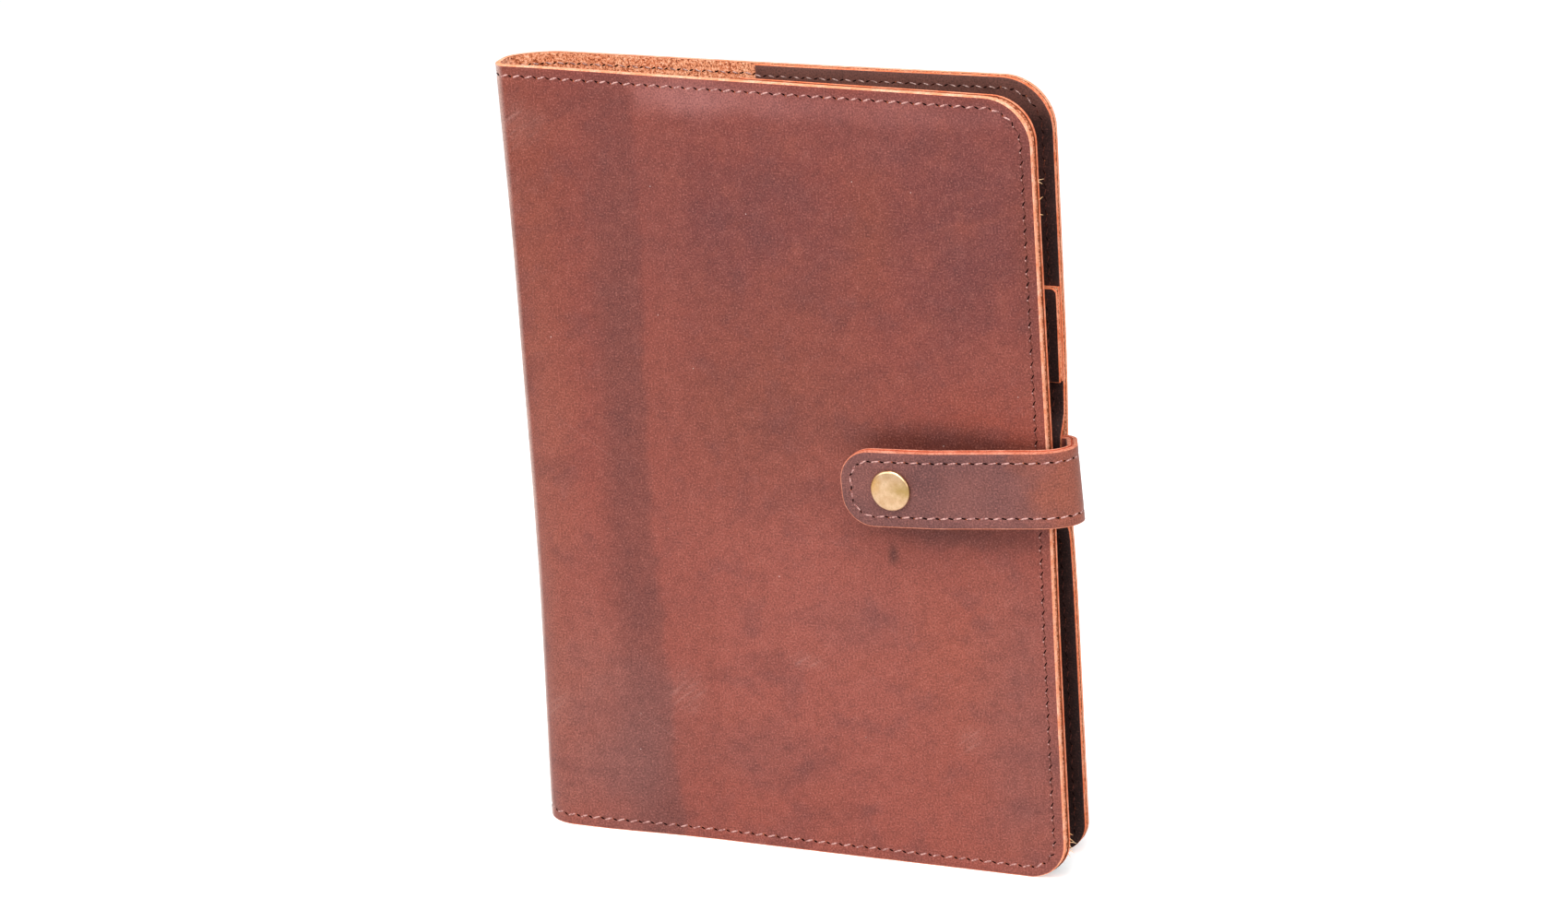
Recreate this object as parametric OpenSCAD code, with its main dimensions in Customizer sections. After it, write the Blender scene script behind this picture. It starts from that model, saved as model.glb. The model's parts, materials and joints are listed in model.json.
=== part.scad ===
// Refillable leather journal cover, closed by a strap with a press stud, with its notebook inside.
// It stands on its lower edge: spine on the left, fore edge on the right, front facing -Y.
// The origin is the middle of the back panel's lower edge.

/* [Cover] */
// Width of the closed cover, from spine to fore edge
cover_w = 168; // [156:1:190]
// Height of the cover
cover_h = 236; // [226:1:260]
// Thickness of the closed cover over the spine
spine_t = 17.6; // [17:0.1:22]
// Thickness of the outer leather
leather_t = 1.8; // [1.4:0.1:2.2]
// Radius of the cover's four outer corners
corner_r = 12; // [8:1:24]
// Angle by which the front panel stands away from the back panel
flare_deg = 2; // [1:0.5:6]
// How much the back panel stops short of the front panel at the fore edge
back_short = 1.5; // [0:0.5:3]
// Radius of the fold between front panel and spine
front_fold_r = 5; // [3.5:0.1:6]
// Radius of the fold between spine and back panel
back_fold_r = 6; // [5:0.1:8]

/* [Flaps] */
// Width of each inside flap, measured from the fore edge
flap_w = 90; // [60:1:110]
// Thickness of the flap leather
flap_t = 1.6; // [1.4:0.1:2]

/* [Seams] */
// Distance from the leather's edge to the line of stitching
seam_margin = 3.2; // [2.5:0.1:5]
// Width of the line of thread
thread_w = 0.7; // [0.5:0.1:1]
// Depth to which the thread is sunk into the leather
thread_t = 0.4; // [0.3:0.05:0.6]

/* [Strap] */
// Width of the strap
strap_w = 23; // [18:1:30]
// Thickness of each of the strap's two layers
strap_layer_t = 1.6; // [1.2:0.1:1.8]
// Distance from the strap's tip to the centre of the press stud
strap_tip_l = 15.8; // [13:0.1:22]
// Radius of the corners of the strap's tip
strap_tip_r = 9.5; // [5:0.5:11]
// Length of the flat stretch of strap from the press stud towards the fore edge
strap_flat_l = 11; // [9:0.5:16]
// Angle at which the strap then falls towards the front panel
strap_fall_deg = 7; // [4:0.5:9]
// Radius of the bend at which it begins to fall
strap_fall_r = 30; // [20:1:60]
// Angle by which the strap rises towards the fore edge
strap_rise_deg = 3; // [0:0.5:5]
// How far the strap's outside stands beyond the fore edge
strap_reach = 5.2; // [4.8:0.1:8]
// Outer radius of the strap's front bend
strap_front_r = 5; // [4:0.1:7]
// Outer radius of the strap's back bend
strap_back_r = 4.2; // [4:0.1:6]
// Length of the strap's tail inside the back seam
strap_tail_l = 14; // [10:0.5:20]

/* [Press stud] */
// Distance from the fore edge to the centre of the press stud
snap_inset = 45.2; // [40:0.5:60]
// Height of the press stud above the lower edge
snap_z = 119.3; // [110:0.1:130]
// Space between front panel and strap at the press stud
snap_gap = 4.8; // [4.6:0.1:6]
// Diameter of the cap
cap_d = 12.5; // [11:0.1:15]
// Thickness of the cap's rim
cap_rim_t = 0.6; // [0.4:0.1:1]
// Height of the cap's dome above its rim
cap_dome_h = 1.2; // [0.6:0.1:2]
// Diameter of the socket
socket_d = 11; // [10:0.1:13]
// Height of the socket
socket_h = 3.4; // [3.2:0.1:3.6]
// Thickness of the socket's seat against the strap
socket_seat_t = 0.8; // [0.6:0.1:0.9]
// Diameter of the stud's head
stud_head_d = 5.8; // [5.2:0.1:6.2]
// Diameter of the stud's neck
stud_neck_d = 4.8; // [4.4:0.1:5]
// Diameter of the stud's foot
stud_foot_d = 10; // [8:0.1:11]
// Thickness of the stud's foot
stud_foot_t = 0.8; // [0.6:0.1:1]
// Diameter of the two posts that hold the press stud's halves to the leather
post_d = 3.2; // [2.8:0.1:3.4]
// Diameter of the eyelet's flange behind the front panel
eyelet_d = 9; // [7:0.1:11]
// Thickness of the eyelet's flange
eyelet_t = 0.6; // [0.4:0.1:0.8]
// Diameter of the wire of the socket's ring spring
spring_wire_d = 0.5; // [0.4:0.05:0.6]

/* [Pen loop] */
// Diameter of the pen that the loop takes
pen_d = 9; // [7:0.5:10]
// Width of the loop's strip
loop_w = 28; // [15:1:40]
// Height of the loop's lower edge
loop_z = 147; // [140:1:170]
// Thickness of the loop's leather
loop_t = 1.1; // [0.8:0.1:1.3]
// Distance from the back panel's fore edge to the middle of the loop
loop_inset = 17; // [15:0.5:20]

/* [Notebook] */
// Width of the notebook
book_w = 128; // [110:1:132]
// Height of the notebook
book_h = 210; // [180:1:212]
// Thickness of the notebook's card covers and spine
card_t = 0.9; // [0.6:0.1:1.1]
// Space between the leather spine and the notebook's spine
book_room = 1.5; // [1:0.1:3]

/* [Fit] */
// Gap between the leather's moving pieces at a fold
fold_gap = 0.3; // [0.2:0.05:0.5]
// Slip between a piece and the pocket or hole that holds it
slip = 0.1; // [0.05:0.05:0.15]
// Gap between the notebook's moving pieces
page_gap = 0.3; // [0.2:0.05:0.4]

/* [Hidden] */
$fn = 96;
bend_steps = 8;
// long enough to reach past every piece of leather
through = 100;

spine_x = -cover_w / 2;
front_fore_x = cover_w / 2;
back_fore_x = front_fore_x - back_short;
back_out_y = leather_t / 2;
back_in_y = back_out_y - leather_t;
front_out_y = back_out_y - spine_t;
front_in_y = front_out_y + leather_t;

// the two folds: arcs whose middles are the fold lines, on the outside of the leather
front_fold_mid = [spine_x + front_fold_r, front_out_y + front_fold_r];
back_fold_mid = [spine_x + back_fold_r, back_out_y - back_fold_r];
front_fold_at = 225;
back_fold_at = 135;
front_fold = front_fold_mid + front_fold_r * [cos(front_fold_at), sin(front_fold_at)];
back_fold = back_fold_mid + back_fold_r * [cos(back_fold_at), sin(back_fold_at)];
front_gap_deg = asin(fold_gap / 2 / front_fold_r);
back_gap_deg = asin(fold_gap / 2 / back_fold_r);

// pockets behind the flaps, and the notebook that fills them
pocket_h = card_t + 2 * slip;
book_x = spine_x + leather_t + book_room + card_t + page_gap;
book_fore_x = book_x + book_w;
card_x = max(front_fold_mid[0], back_fold_mid[0]) + page_gap;
book_z = (cover_h - book_h) / 2;
pages_back_y = back_in_y - pocket_h - flap_t - slip;
pages_front_y = front_in_y + slip + card_t + page_gap;
gutter_y = (pages_back_y + pages_front_y) / 2;
book_spine_x = book_x - page_gap - card_t;
// the notebook's spine ends below the inside of the back fold
back_fold_room = back_fold_r - leather_t;
fold_rise = sqrt(back_fold_room * back_fold_room - pow(min(book_spine_x - back_fold_mid[0], 0), 2));
book_spine_back_y = back_fold_mid[1] + fold_rise - page_gap;

// the press stud stands square on the flared front panel
function turned(p, middle, deg) =
    let (d = p - middle)
    middle + [d[0] * cos(deg) - d[1] * sin(deg), d[0] * sin(deg) + d[1] * cos(deg)];
function flared(p) = turned(p, front_fold, -flare_deg);
snap_at = flared([front_fore_x - snap_inset, front_out_y]);
strap_t = 2 * strap_layer_t;

// the strap's outside, walked from its tip as [x, y, heading] points; a leg is [length, radius, turn]
function leg_points(from, leg) =
    leg[2] == 0
    ? [[from[0] + leg[0] * cos(from[2]), from[1] + leg[0] * sin(from[2]), from[2]]]
    : [for (i = [1 : bend_steps])
        let (heading = from[2] + leg[2] * i / bend_steps)
        [from[0] + leg[1] * (sin(heading) - sin(from[2])),
         from[1] + leg[1] * (cos(from[2]) - cos(heading)),
         heading]];
function walk(path, legs, i = 0) =
    i == len(legs) ? path : walk(concat(path, leg_points(path[len(path) - 1], legs[i])), legs, i + 1);
function end_of(path) = path[len(path) - 1];

tip_point = flared([front_fore_x - snap_inset - strap_tip_l, front_out_y - snap_gap - strap_t]);
strap_tip = [tip_point[0], tip_point[1], -flare_deg];
fall_heading = strap_fall_deg - flare_deg;
flat_and_fall = walk([strap_tip], [[strap_tip_l + strap_flat_l, 0, 0], [0, strap_fall_r, strap_fall_deg]]);
fall_x = end_of(flat_and_fall)[0];
strap_out_x = front_fore_x + strap_reach;
fall_l = (strap_out_x - strap_front_r * (1 - sin(fall_heading)) - fall_x) / cos(fall_heading);
falling = walk(flat_and_fall, [[fall_l, 0, 0]]);
front_turn = 90 - fall_heading;
strap_front_fold = end_of(walk(falling, [[0, strap_front_r, front_turn / 2]]));
strap_front_gap = asin(fold_gap / 2 / strap_front_r);
strap_back_gap = asin(fold_gap / 2 / strap_back_r);
run_path = walk(falling, [[0, strap_front_r, front_turn / 2 - strap_front_gap]]);
bend_start = end_of(walk([strap_front_fold], [[0, strap_front_r, strap_front_gap]]));
across_start = end_of(walk([bend_start], [[0, strap_front_r, front_turn / 2 - strap_front_gap]]));
tail_out_y = back_in_y - slip;
across_l = tail_out_y - strap_back_r - across_start[1];
bend_path = walk([bend_start], [
    [0, strap_front_r, front_turn / 2 - strap_front_gap],
    [across_l, 0, 0],
    [0, strap_back_r, 45 - strap_back_gap]
]);
strap_back_fold = end_of(walk([end_of(bend_path)], [[0, strap_back_r, strap_back_gap]]));
tail_start = end_of(walk([strap_back_fold], [[0, strap_back_r, strap_back_gap]]));
tail_end_x = back_fore_x - strap_tail_l;
tail_corner = end_of(walk([tail_start], [[0, strap_back_r, 45 - strap_back_gap]]));
tail_path = walk([tail_start], [
    [0, strap_back_r, 45 - strap_back_gap],
    [tail_corner[0] - tail_end_x, 0, 0]
]);

// levels of the press stud, measured outwards from the front panel
strap_in_h = snap_gap;
strap_out_h = snap_gap + strap_t;
socket_mouth_h = strap_in_h - socket_h;
socket_roof_h = strap_in_h - socket_seat_t;
post_slip = slip / 2;
stud_top_h = socket_roof_h - 2 * slip;
head_t = 0.9;
head_h = stud_top_h - head_t;
spring_ring_r = stud_neck_d / 2 + slip / 2 + spring_wire_d / 2;
spring_h = head_h - slip - spring_wire_d / 2;
socket_bore_r = stud_head_d / 2 + 2 * slip;
spring_room_r = max(spring_ring_r + spring_wire_d / 2 + slip, socket_bore_r);

// size of the clenched rims that hold each post
clench_lip = 0.3;
clench_r = post_d / 2 + clench_lip;
clench_t = 0.4;
post_wall = 0.5;

// the loop's strip lies on the back flap, doubled from the fore edge to the loop
loop_face_y = back_in_y - flap_t;
loop_out_r = pen_d / 2 + loop_t;
loop_mid = [back_fore_x - loop_inset, loop_face_y - loop_out_r];

cover_colour = [0.56, 0.33, 0.30];
flap_colour = [0.30, 0.19, 0.17];
lining_colour = [0.52, 0.30, 0.27];
thread_colour = [0.52, 0.40, 0.38];
brass_colour = [0.72, 0.58, 0.36];
steel_colour = [0.62, 0.62, 0.60];
card_colour = [0.20, 0.17, 0.15];
paper_colour = [0.93, 0.90, 0.82];

// outline of a panel seen from the front: square towards the spine, round at the fore edge
module panel_outline(from_x, to_x, inset) {
    r = max(corner_r - inset, fold_gap);
    top = cover_h - inset;
    fore = to_x - inset;
    translate([from_x, inset]) square([fore - r - from_x, top - inset]);
    translate([from_x, inset + r]) square([fore - from_x, top - inset - 2 * r]);
    for (z = [inset + r, top - r]) translate([fore - r, z]) circle(r);
}

// line of thread along the three sewn sides of a panel
module seam_outline(from_x, to_x) {
    difference() {
        panel_outline(from_x, to_x, seam_margin - thread_w / 2);
        translate([-through, 0]) panel_outline(from_x, to_x + through, seam_margin + thread_w / 2);
    }
}

// a flat piece of the given outline whose thickness grows from y towards the inside of the back cover
module back_plate(y, t) {
    translate([0, y, 0]) rotate([90, 0, 0]) linear_extrude(t) children();
}

// the same for the front cover, growing towards its inside
module front_plate(y, t) {
    translate([0, y, 0]) mirror([0, 1, 0]) rotate([90, 0, 0]) linear_extrude(t) children();
}

// the front cover stands open by its flare, turned about the front fold
module front_frame() {
    translate([front_fold[0], front_fold[1], 0]) rotate(-flare_deg)
        translate([-front_fold[0], -front_fold[1], 0]) children();
}

// plan of a bent stretch of leather between two angles of a fold
module fold_plan(mid, r, t, from_deg, to_deg) {
    reach = 2 * r;
    translate(mid) intersection() {
        difference() {
            circle(r);
            circle(r - t);
        }
        polygon([
            [0, 0],
            reach * [cos(from_deg), sin(from_deg)],
            reach * [cos((from_deg + to_deg) / 2), sin((from_deg + to_deg) / 2)],
            reach * [cos(to_deg), sin(to_deg)]
        ]);
    }
}

// plan of the back cover's leather with its half of the back fold, from a depth below its outside
module back_plan(depth, t) {
    translate([back_fold_mid[0], back_out_y - depth - t]) square([back_fore_x - back_fold_mid[0], t]);
    fold_plan(back_fold_mid, back_fold_r - depth, t, 90, back_fold_at - back_gap_deg);
}

// the same for the spine, with the other halves of both folds
module spine_plan(depth, t) {
    translate([spine_x + depth, front_fold_mid[1]]) square([t, back_fold_mid[1] - front_fold_mid[1]]);
    fold_plan(back_fold_mid, back_fold_r - depth, t, back_fold_at + back_gap_deg, 180);
    fold_plan(front_fold_mid, front_fold_r - depth, t, 180, front_fold_at - front_gap_deg);
}

// the same for the front cover, with its half of the front fold
module front_plan(depth, t) {
    translate([front_fold_mid[0], front_out_y + depth]) square([front_fore_x - front_fold_mid[0], t]);
    fold_plan(front_fold_mid, front_fold_r - depth, t, front_fold_at + front_gap_deg, 270);
}

// an outline seen from the front, carried through the whole depth of the journal
module outline_cutter() {
    translate([0, through, 0]) rotate([90, 0, 0]) linear_extrude(2 * through) children();
}

// a bent layer: the plan that comes first, cut to the outline that comes second
module bent_layer() {
    intersection() {
        linear_extrude(cover_h) children(0);
        outline_cutter() children(1);
    }
}

// flap leaf: sewn flat along three sides, raised over the pocket and over anything sewn in below it
module flap_leaf(fore_x) {
    leaf_x = fore_x - flap_w;
    wall = flap_t;
    difference() {
        union() {
            linear_extrude(flap_t) panel_outline(leaf_x, fore_x, 0);
            translate([leaf_x, book_z - slip - wall, 0])
                cube([book_fore_x + slip + wall - leaf_x, book_h + 2 * (slip + wall), pocket_h + flap_t]);
        }
        translate([leaf_x - slip, book_z - slip, -slip])
            cube([book_fore_x + 2 * slip - leaf_x, book_h + 2 * slip, pocket_h + slip]);
        translate([0, 0, flap_t - thread_t]) linear_extrude(thread_t + slip)
            flap_seam_outline(fore_x);
    }
}

module flap_seam_outline(fore_x) {
    intersection() {
        seam_outline(spine_x, fore_x);
        translate([fore_x - flap_w, 0]) square([flap_w, cover_h]);
    }
}

// the thread on the bare inside of a panel, from the fold to the flap
module bare_seam_outline(from_x, fore_x) {
    intersection() {
        seam_outline(from_x, fore_x);
        translate([from_x, 0]) square([fore_x - flap_w - from_x, cover_h]);
    }
}

// strap: a band between two depths below its outside, as wide as the strap
module strap_frame() {
    translate([snap_at[0], snap_at[1], snap_z])
        rotate([0, 0, -flare_deg]) rotate([0, -strap_rise_deg, 0]) rotate([0, 0, flare_deg])
        translate([-snap_at[0], -snap_at[1], 0]) children();
}

module strap_band(path, depth, t, w = strap_w) {
    count = len(path);
    near = [for (p = path) [p[0] - depth * sin(p[2]), p[1] + depth * cos(p[2])]];
    far = [for (i = [count - 1 : -1 : 0])
        let (p = path[i])
        [p[0] - (depth + t) * sin(p[2]), p[1] + (depth + t) * cos(p[2])]];
    translate([0, 0, -w / 2]) linear_extrude(w) polygon(concat(near, far));
}

// outline of the strap seen from the front, round at its tip
module tip_outline(inset) {
    r = max(strap_tip_r - inset, fold_gap);
    half_w = strap_w / 2 - inset;
    tip_x = strap_tip[0] + inset;
    translate([tip_x, -half_w + r]) square([through, 2 * (half_w - r)]);
    translate([tip_x + r, -half_w]) square([through - r, 2 * half_w]);
    for (z = [-half_w + r, half_w - r]) translate([tip_x + r, z]) circle(r);
}

module strap_run(depth, t) {
    strap_frame() intersection() {
        strap_band(run_path, depth, t);
        outline_cutter() tip_outline(0);
    }
}

module run_thread() {
    strap_frame() intersection() {
        strap_band(run_path, 0, thread_t);
        difference() {
            outline_cutter() tip_outline(seam_margin - thread_w / 2);
            outline_cutter() tip_outline(seam_margin + thread_w / 2);
        }
    }
}

module bend_thread() {
    strap_frame() for (side = [-1, 1])
        translate([0, 0, side * (strap_w / 2 - seam_margin)]) strap_band(bend_path, 0, thread_t, thread_w);
}

// the press stud's own frame: +Z outwards, 0 on the front panel's outside
module snap_frame() {
    translate([snap_at[0], snap_at[1], snap_z]) rotate([0, 0, -flare_deg]) rotate([90, 0, 0]) children();
}

module snap_hole(r, from_h, to_h) {
    snap_frame() translate([0, 0, from_h]) cylinder(h = to_h - from_h, r = r);
}

module back_panel() {
    color(cover_colour) difference() {
        bent_layer() {
            back_plan(0, leather_t);
            panel_outline(spine_x, back_fore_x, 0);
        }
        back_seam();
    }
}

// the thread of the back cover, round the fold too: on the outside and on the bare inside
module back_seam() {
    bent_layer() {
        back_plan(0, thread_t);
        seam_outline(spine_x, back_fore_x);
    }
    bent_layer() {
        back_plan(leather_t - thread_t, thread_t);
        bare_seam_outline(spine_x, back_fore_x);
    }
}

module back_flap_thread() {
    difference() {
        back_plate(back_in_y - flap_t + thread_t, thread_t) flap_seam_outline(back_fore_x);
        tail_bulge(flap_t);
    }
}

module back_thread() {
    color(thread_colour) {
        back_seam();
        back_flap_thread();
    }
}

// room for the strap's tail between panel and flap; wall is what stands round that room
module tail_bulge(wall) {
    room = slip + wall;
    strap_frame() translate([tail_end_x - room, back_in_y - strap_t - 2 * slip - wall, -strap_w / 2 - room])
        cube([strap_tail_l + room + (wall > 0 ? 0 : strap_reach),
              strap_t + 2 * slip + wall,
              strap_w + 2 * room]);
}

module back_flap() {
    color(flap_colour) difference() {
        union() {
            translate([0, back_in_y, 0]) rotate([90, 0, 0]) flap_leaf(back_fore_x);
            intersection() {
                tail_bulge(flap_t);
                translate([back_fore_x - through, back_in_y - through, 0]) cube([through, through, cover_h]);
            }
        }
        tail_bulge(0);
    }
}

module pen_loop() {
    color(flap_colour) translate([0, 0, loop_z]) linear_extrude(loop_w) difference() {
        union() {
            translate(loop_mid) circle(loop_out_r);
            translate([loop_mid[0], loop_face_y - loop_t]) square([loop_inset, loop_t]);
            translate([loop_mid[0] + pen_d / 2, loop_face_y - 2 * loop_t])
                square([loop_inset - pen_d / 2, loop_t]);
        }
        translate(loop_mid) circle(pen_d / 2);
    }
}

module strap_tail_outer() {
    color(cover_colour) strap_frame() strap_band(tail_path, 0, strap_layer_t);
}

module strap_tail_lining() {
    color(lining_colour) strap_frame() strap_band(tail_path, strap_layer_t, strap_layer_t);
}

module book_outline(from_x) {
    translate([from_x, book_z]) square([book_fore_x - from_x, book_h]);
}

module notebook_back_cover() {
    color(card_colour) back_plate(back_in_y - slip, card_t) book_outline(card_x);
}

module notebook_back_pages() {
    color(paper_colour) back_plate(pages_back_y, pages_back_y - gutter_y - page_gap / 2)
        book_outline(book_x);
}

module spine_leather() {
    color(cover_colour) difference() {
        linear_extrude(cover_h) spine_plan(0, leather_t);
        spine_seam();
    }
}

module spine_seam() {
    for (z = [seam_margin, cover_h - seam_margin], depth = [0, leather_t - thread_t])
        translate([0, 0, z - thread_w / 2]) linear_extrude(thread_w) spine_plan(depth, thread_t);
}

module spine_thread() {
    color(thread_colour) spine_seam();
}

module notebook_spine() {
    color(card_colour) translate([book_spine_x, pages_front_y, book_z])
        cube([card_t, book_spine_back_y - pages_front_y, book_h]);
}

module front_panel() {
    color(cover_colour) difference() {
        front_frame() difference() {
            bent_layer() {
                front_plan(0, leather_t);
                panel_outline(spine_x, front_fore_x, 0);
            }
            front_seam();
        }
        snap_hole(post_d / 2 + slip, -through, through);
        snap_hole(eyelet_d / 2 + slip, -through, eyelet_t + slip - leather_t);
    }
}

module front_seam() {
    bent_layer() {
        front_plan(0, thread_t);
        seam_outline(spine_x, front_fore_x);
    }
    bent_layer() {
        front_plan(leather_t - thread_t, thread_t);
        bare_seam_outline(spine_x, front_fore_x);
    }
}

module front_flap() {
    color(flap_colour) front_frame()
        translate([0, front_in_y, 0]) mirror([0, 1, 0]) rotate([90, 0, 0]) flap_leaf(front_fore_x);
}

module front_thread() {
    color(thread_colour) front_frame() {
        front_seam();
        front_plate(front_in_y + flap_t - thread_t, thread_t) flap_seam_outline(front_fore_x);
    }
}

module notebook_front_cover() {
    color(card_colour) front_frame() front_plate(front_in_y + slip, card_t) book_outline(card_x);
}

module notebook_front_pages() {
    color(paper_colour) front_plate(pages_front_y, gutter_y - page_gap / 2 - pages_front_y)
        book_outline(book_x);
}

// the male half: a turned stud on the front panel, clenched on the barrel of an eyelet
module stud() {
    head_r = stud_head_d / 2;
    neck_r = stud_neck_d / 2;
    color(brass_colour) snap_frame() difference() {
        union() {
            cylinder(h = stud_foot_t, r = stud_foot_d / 2);
            cylinder(h = head_h, r = neck_r);
            translate([0, 0, head_h]) cylinder(h = head_t / 2, r = head_r);
            translate([0, 0, head_h + head_t / 2]) cylinder(h = head_t / 2, r1 = head_r, r2 = neck_r);
        }
        translate([0, 0, -slip]) cylinder(h = through, r = post_d / 2 + post_slip);
        translate([0, 0, stud_foot_t + slip]) cylinder(h = through, r = clench_r + post_slip);
    }
}

module stud_eyelet() {
    color(brass_colour) snap_frame() difference() {
        union() {
            translate([0, 0, -leather_t]) cylinder(h = eyelet_t, r = eyelet_d / 2);
            translate([0, 0, -leather_t]) cylinder(h = leather_t + stud_foot_t + slip, r = post_d / 2);
            translate([0, 0, stud_foot_t + slip]) cylinder(h = clench_t, r = clench_r);
        }
        translate([0, 0, -through / 2]) cylinder(h = through, r = post_d / 2 - post_wall);
    }
}

module strap_bend_outer() {
    color(cover_colour) difference() {
        strap_frame() strap_band(bend_path, 0, strap_layer_t);
        bend_thread();
    }
}

module strap_bend_lining() {
    color(lining_colour) strap_frame() strap_band(bend_path, strap_layer_t, strap_layer_t);
}

module strap_bend_thread() {
    color(thread_colour) bend_thread();
}

module strap_outer() {
    color(cover_colour) difference() {
        strap_run(0, strap_layer_t);
        run_thread();
        snap_hole(post_d / 2 + slip, 0, through);
    }
}

module strap_lining() {
    color(lining_colour) difference() {
        strap_run(strap_layer_t, strap_layer_t);
        snap_hole(post_d / 2 + slip, 0, through);
    }
}

module strap_thread() {
    color(thread_colour) run_thread();
}

// the female half: a domed cap whose post goes through the strap and is clenched in the socket
module snap_cap() {
    cap_r = cap_d / 2;
    dome_r = (cap_r * cap_r + cap_dome_h * cap_dome_h) / (2 * cap_dome_h);
    color(brass_colour) snap_frame() {
        translate([0, 0, strap_out_h]) {
            cylinder(h = cap_rim_t, r = cap_r);
            intersection() {
                translate([0, 0, cap_rim_t + cap_dome_h - dome_r]) sphere(dome_r);
                translate([0, 0, cap_rim_t]) cylinder(h = cap_dome_h + slip, r = cap_r);
            }
        }
        translate([0, 0, socket_roof_h]) cylinder(h = strap_out_h - socket_roof_h, r = post_d / 2);
    }
}

module snap_socket() {
    color(brass_colour) snap_frame() difference() {
        translate([0, 0, socket_mouth_h]) cylinder(h = socket_h, r = socket_d / 2);
        translate([0, 0, socket_mouth_h - slip])
            cylinder(h = socket_roof_h - socket_mouth_h + slip, r = socket_bore_r);
        translate([0, 0, spring_h - spring_wire_d / 2 - slip])
            cylinder(h = spring_wire_d + 2 * slip, r = spring_room_r + slip);
        cylinder(h = through, r = post_d / 2 + post_slip);
    }
}

// the ring spring that grips below the stud's head
module snap_spring() {
    color(steel_colour) snap_frame() translate([0, 0, spring_h])
        rotate_extrude() translate([spring_ring_r, 0]) circle(spring_wire_d / 2, $fn = 24);
}

back_panel();
back_flap();
back_thread();
pen_loop();
strap_tail_outer();
strap_tail_lining();
notebook_back_cover();
notebook_back_pages();
spine_leather();
spine_thread();
notebook_spine();
front_panel();
front_flap();
front_thread();
stud();
stud_eyelet();
notebook_front_cover();
notebook_front_pages();
strap_bend_outer();
strap_bend_lining();
strap_bend_thread();
strap_outer();
strap_lining();
strap_thread();
snap_cap();
snap_socket();
snap_spring();
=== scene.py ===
import json
import math
import random

import bmesh
import bpy
from mathutils import Matrix, Quaternion, Vector, noise


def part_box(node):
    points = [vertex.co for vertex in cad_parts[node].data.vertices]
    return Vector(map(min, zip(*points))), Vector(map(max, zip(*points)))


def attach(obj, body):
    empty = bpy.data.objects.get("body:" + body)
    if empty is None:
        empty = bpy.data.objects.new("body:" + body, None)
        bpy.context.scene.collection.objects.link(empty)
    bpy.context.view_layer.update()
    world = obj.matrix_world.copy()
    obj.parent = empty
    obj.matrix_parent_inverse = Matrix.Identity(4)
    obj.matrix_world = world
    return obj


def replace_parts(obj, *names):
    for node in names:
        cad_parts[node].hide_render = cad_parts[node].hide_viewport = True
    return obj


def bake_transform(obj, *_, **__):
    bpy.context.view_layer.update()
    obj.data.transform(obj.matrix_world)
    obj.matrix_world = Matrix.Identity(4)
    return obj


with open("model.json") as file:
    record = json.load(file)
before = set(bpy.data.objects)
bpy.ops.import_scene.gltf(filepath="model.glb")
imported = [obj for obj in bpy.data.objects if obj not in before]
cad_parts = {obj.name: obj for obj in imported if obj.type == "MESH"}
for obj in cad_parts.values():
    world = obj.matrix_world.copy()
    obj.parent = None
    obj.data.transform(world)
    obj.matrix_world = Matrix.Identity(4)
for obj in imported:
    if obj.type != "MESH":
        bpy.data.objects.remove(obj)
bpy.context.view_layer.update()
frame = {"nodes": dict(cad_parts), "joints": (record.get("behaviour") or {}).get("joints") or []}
mm = 0.001
random.seed(7)


# Outer leather
# One sheet of waxed pull-up leather makes the back panel, the spine and the front panel. It is cut flat with
# round corners and raw edges, a seam line is pressed in all round, and it is folded twice about the notebook.
leather_t = 1.8 * mm
corner_r = {"back_foot": 9.5 * mm, "front_foot": 11.5 * mm, "front_head": 14 * mm, "back_head": 15 * mm}
seam_margin = 3.2 * mm
seam_press = 0.25 * mm
edge_soft = 0.3 * mm
flare = math.radians(2)
spine_t = 17.6 * mm
front_fore = 84 * mm
spine_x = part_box("spine_leather")[0].x
back_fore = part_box("back_panel")[1].x
back_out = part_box("back_panel")[1].y
cover_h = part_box("back_panel")[1].z
front_out = back_out - spine_t
joint_at = {joint["name"]: Vector(joint["pos_m"]) for joint in frame["joints"]}


def walk(start, heading, legs):
    """The line of a bent strip in plan, walked over legs of (length, turn in degrees)."""
    at, way, run, stretches = Vector(start), math.radians(heading), 0.0, []
    for length, turn in legs:
        stretches.append((run, at, way, math.radians(turn) / length))
        run += length
        at, way = along(stretches, run)
    return stretches


def turning(r, turn):
    """A leg that turns by some degrees at a radius."""
    return r * math.radians(abs(turn)), turn


def along(stretches, run):
    """Point and heading after some length of a walked line."""
    begun, at, way, curve = [x for x in stretches if x[0] < run][-1] if run > 0 else stretches[0]
    turned = way + curve * (run - begun)
    if curve == 0:
        return at + (run - begun) * Vector((math.cos(way), math.sin(way))), way
    step = Vector((math.sin(turned) - math.sin(way), math.cos(way) - math.cos(turned)))
    return at + step / curve, turned


def flared(x, y):
    """A point of the front cover, turned open with it about the front fold."""
    fold = joint_at["front_hinge"].xy
    return fold + Matrix.Rotation(-flare, 2) @ (Vector((x, y)) - fold)


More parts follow.
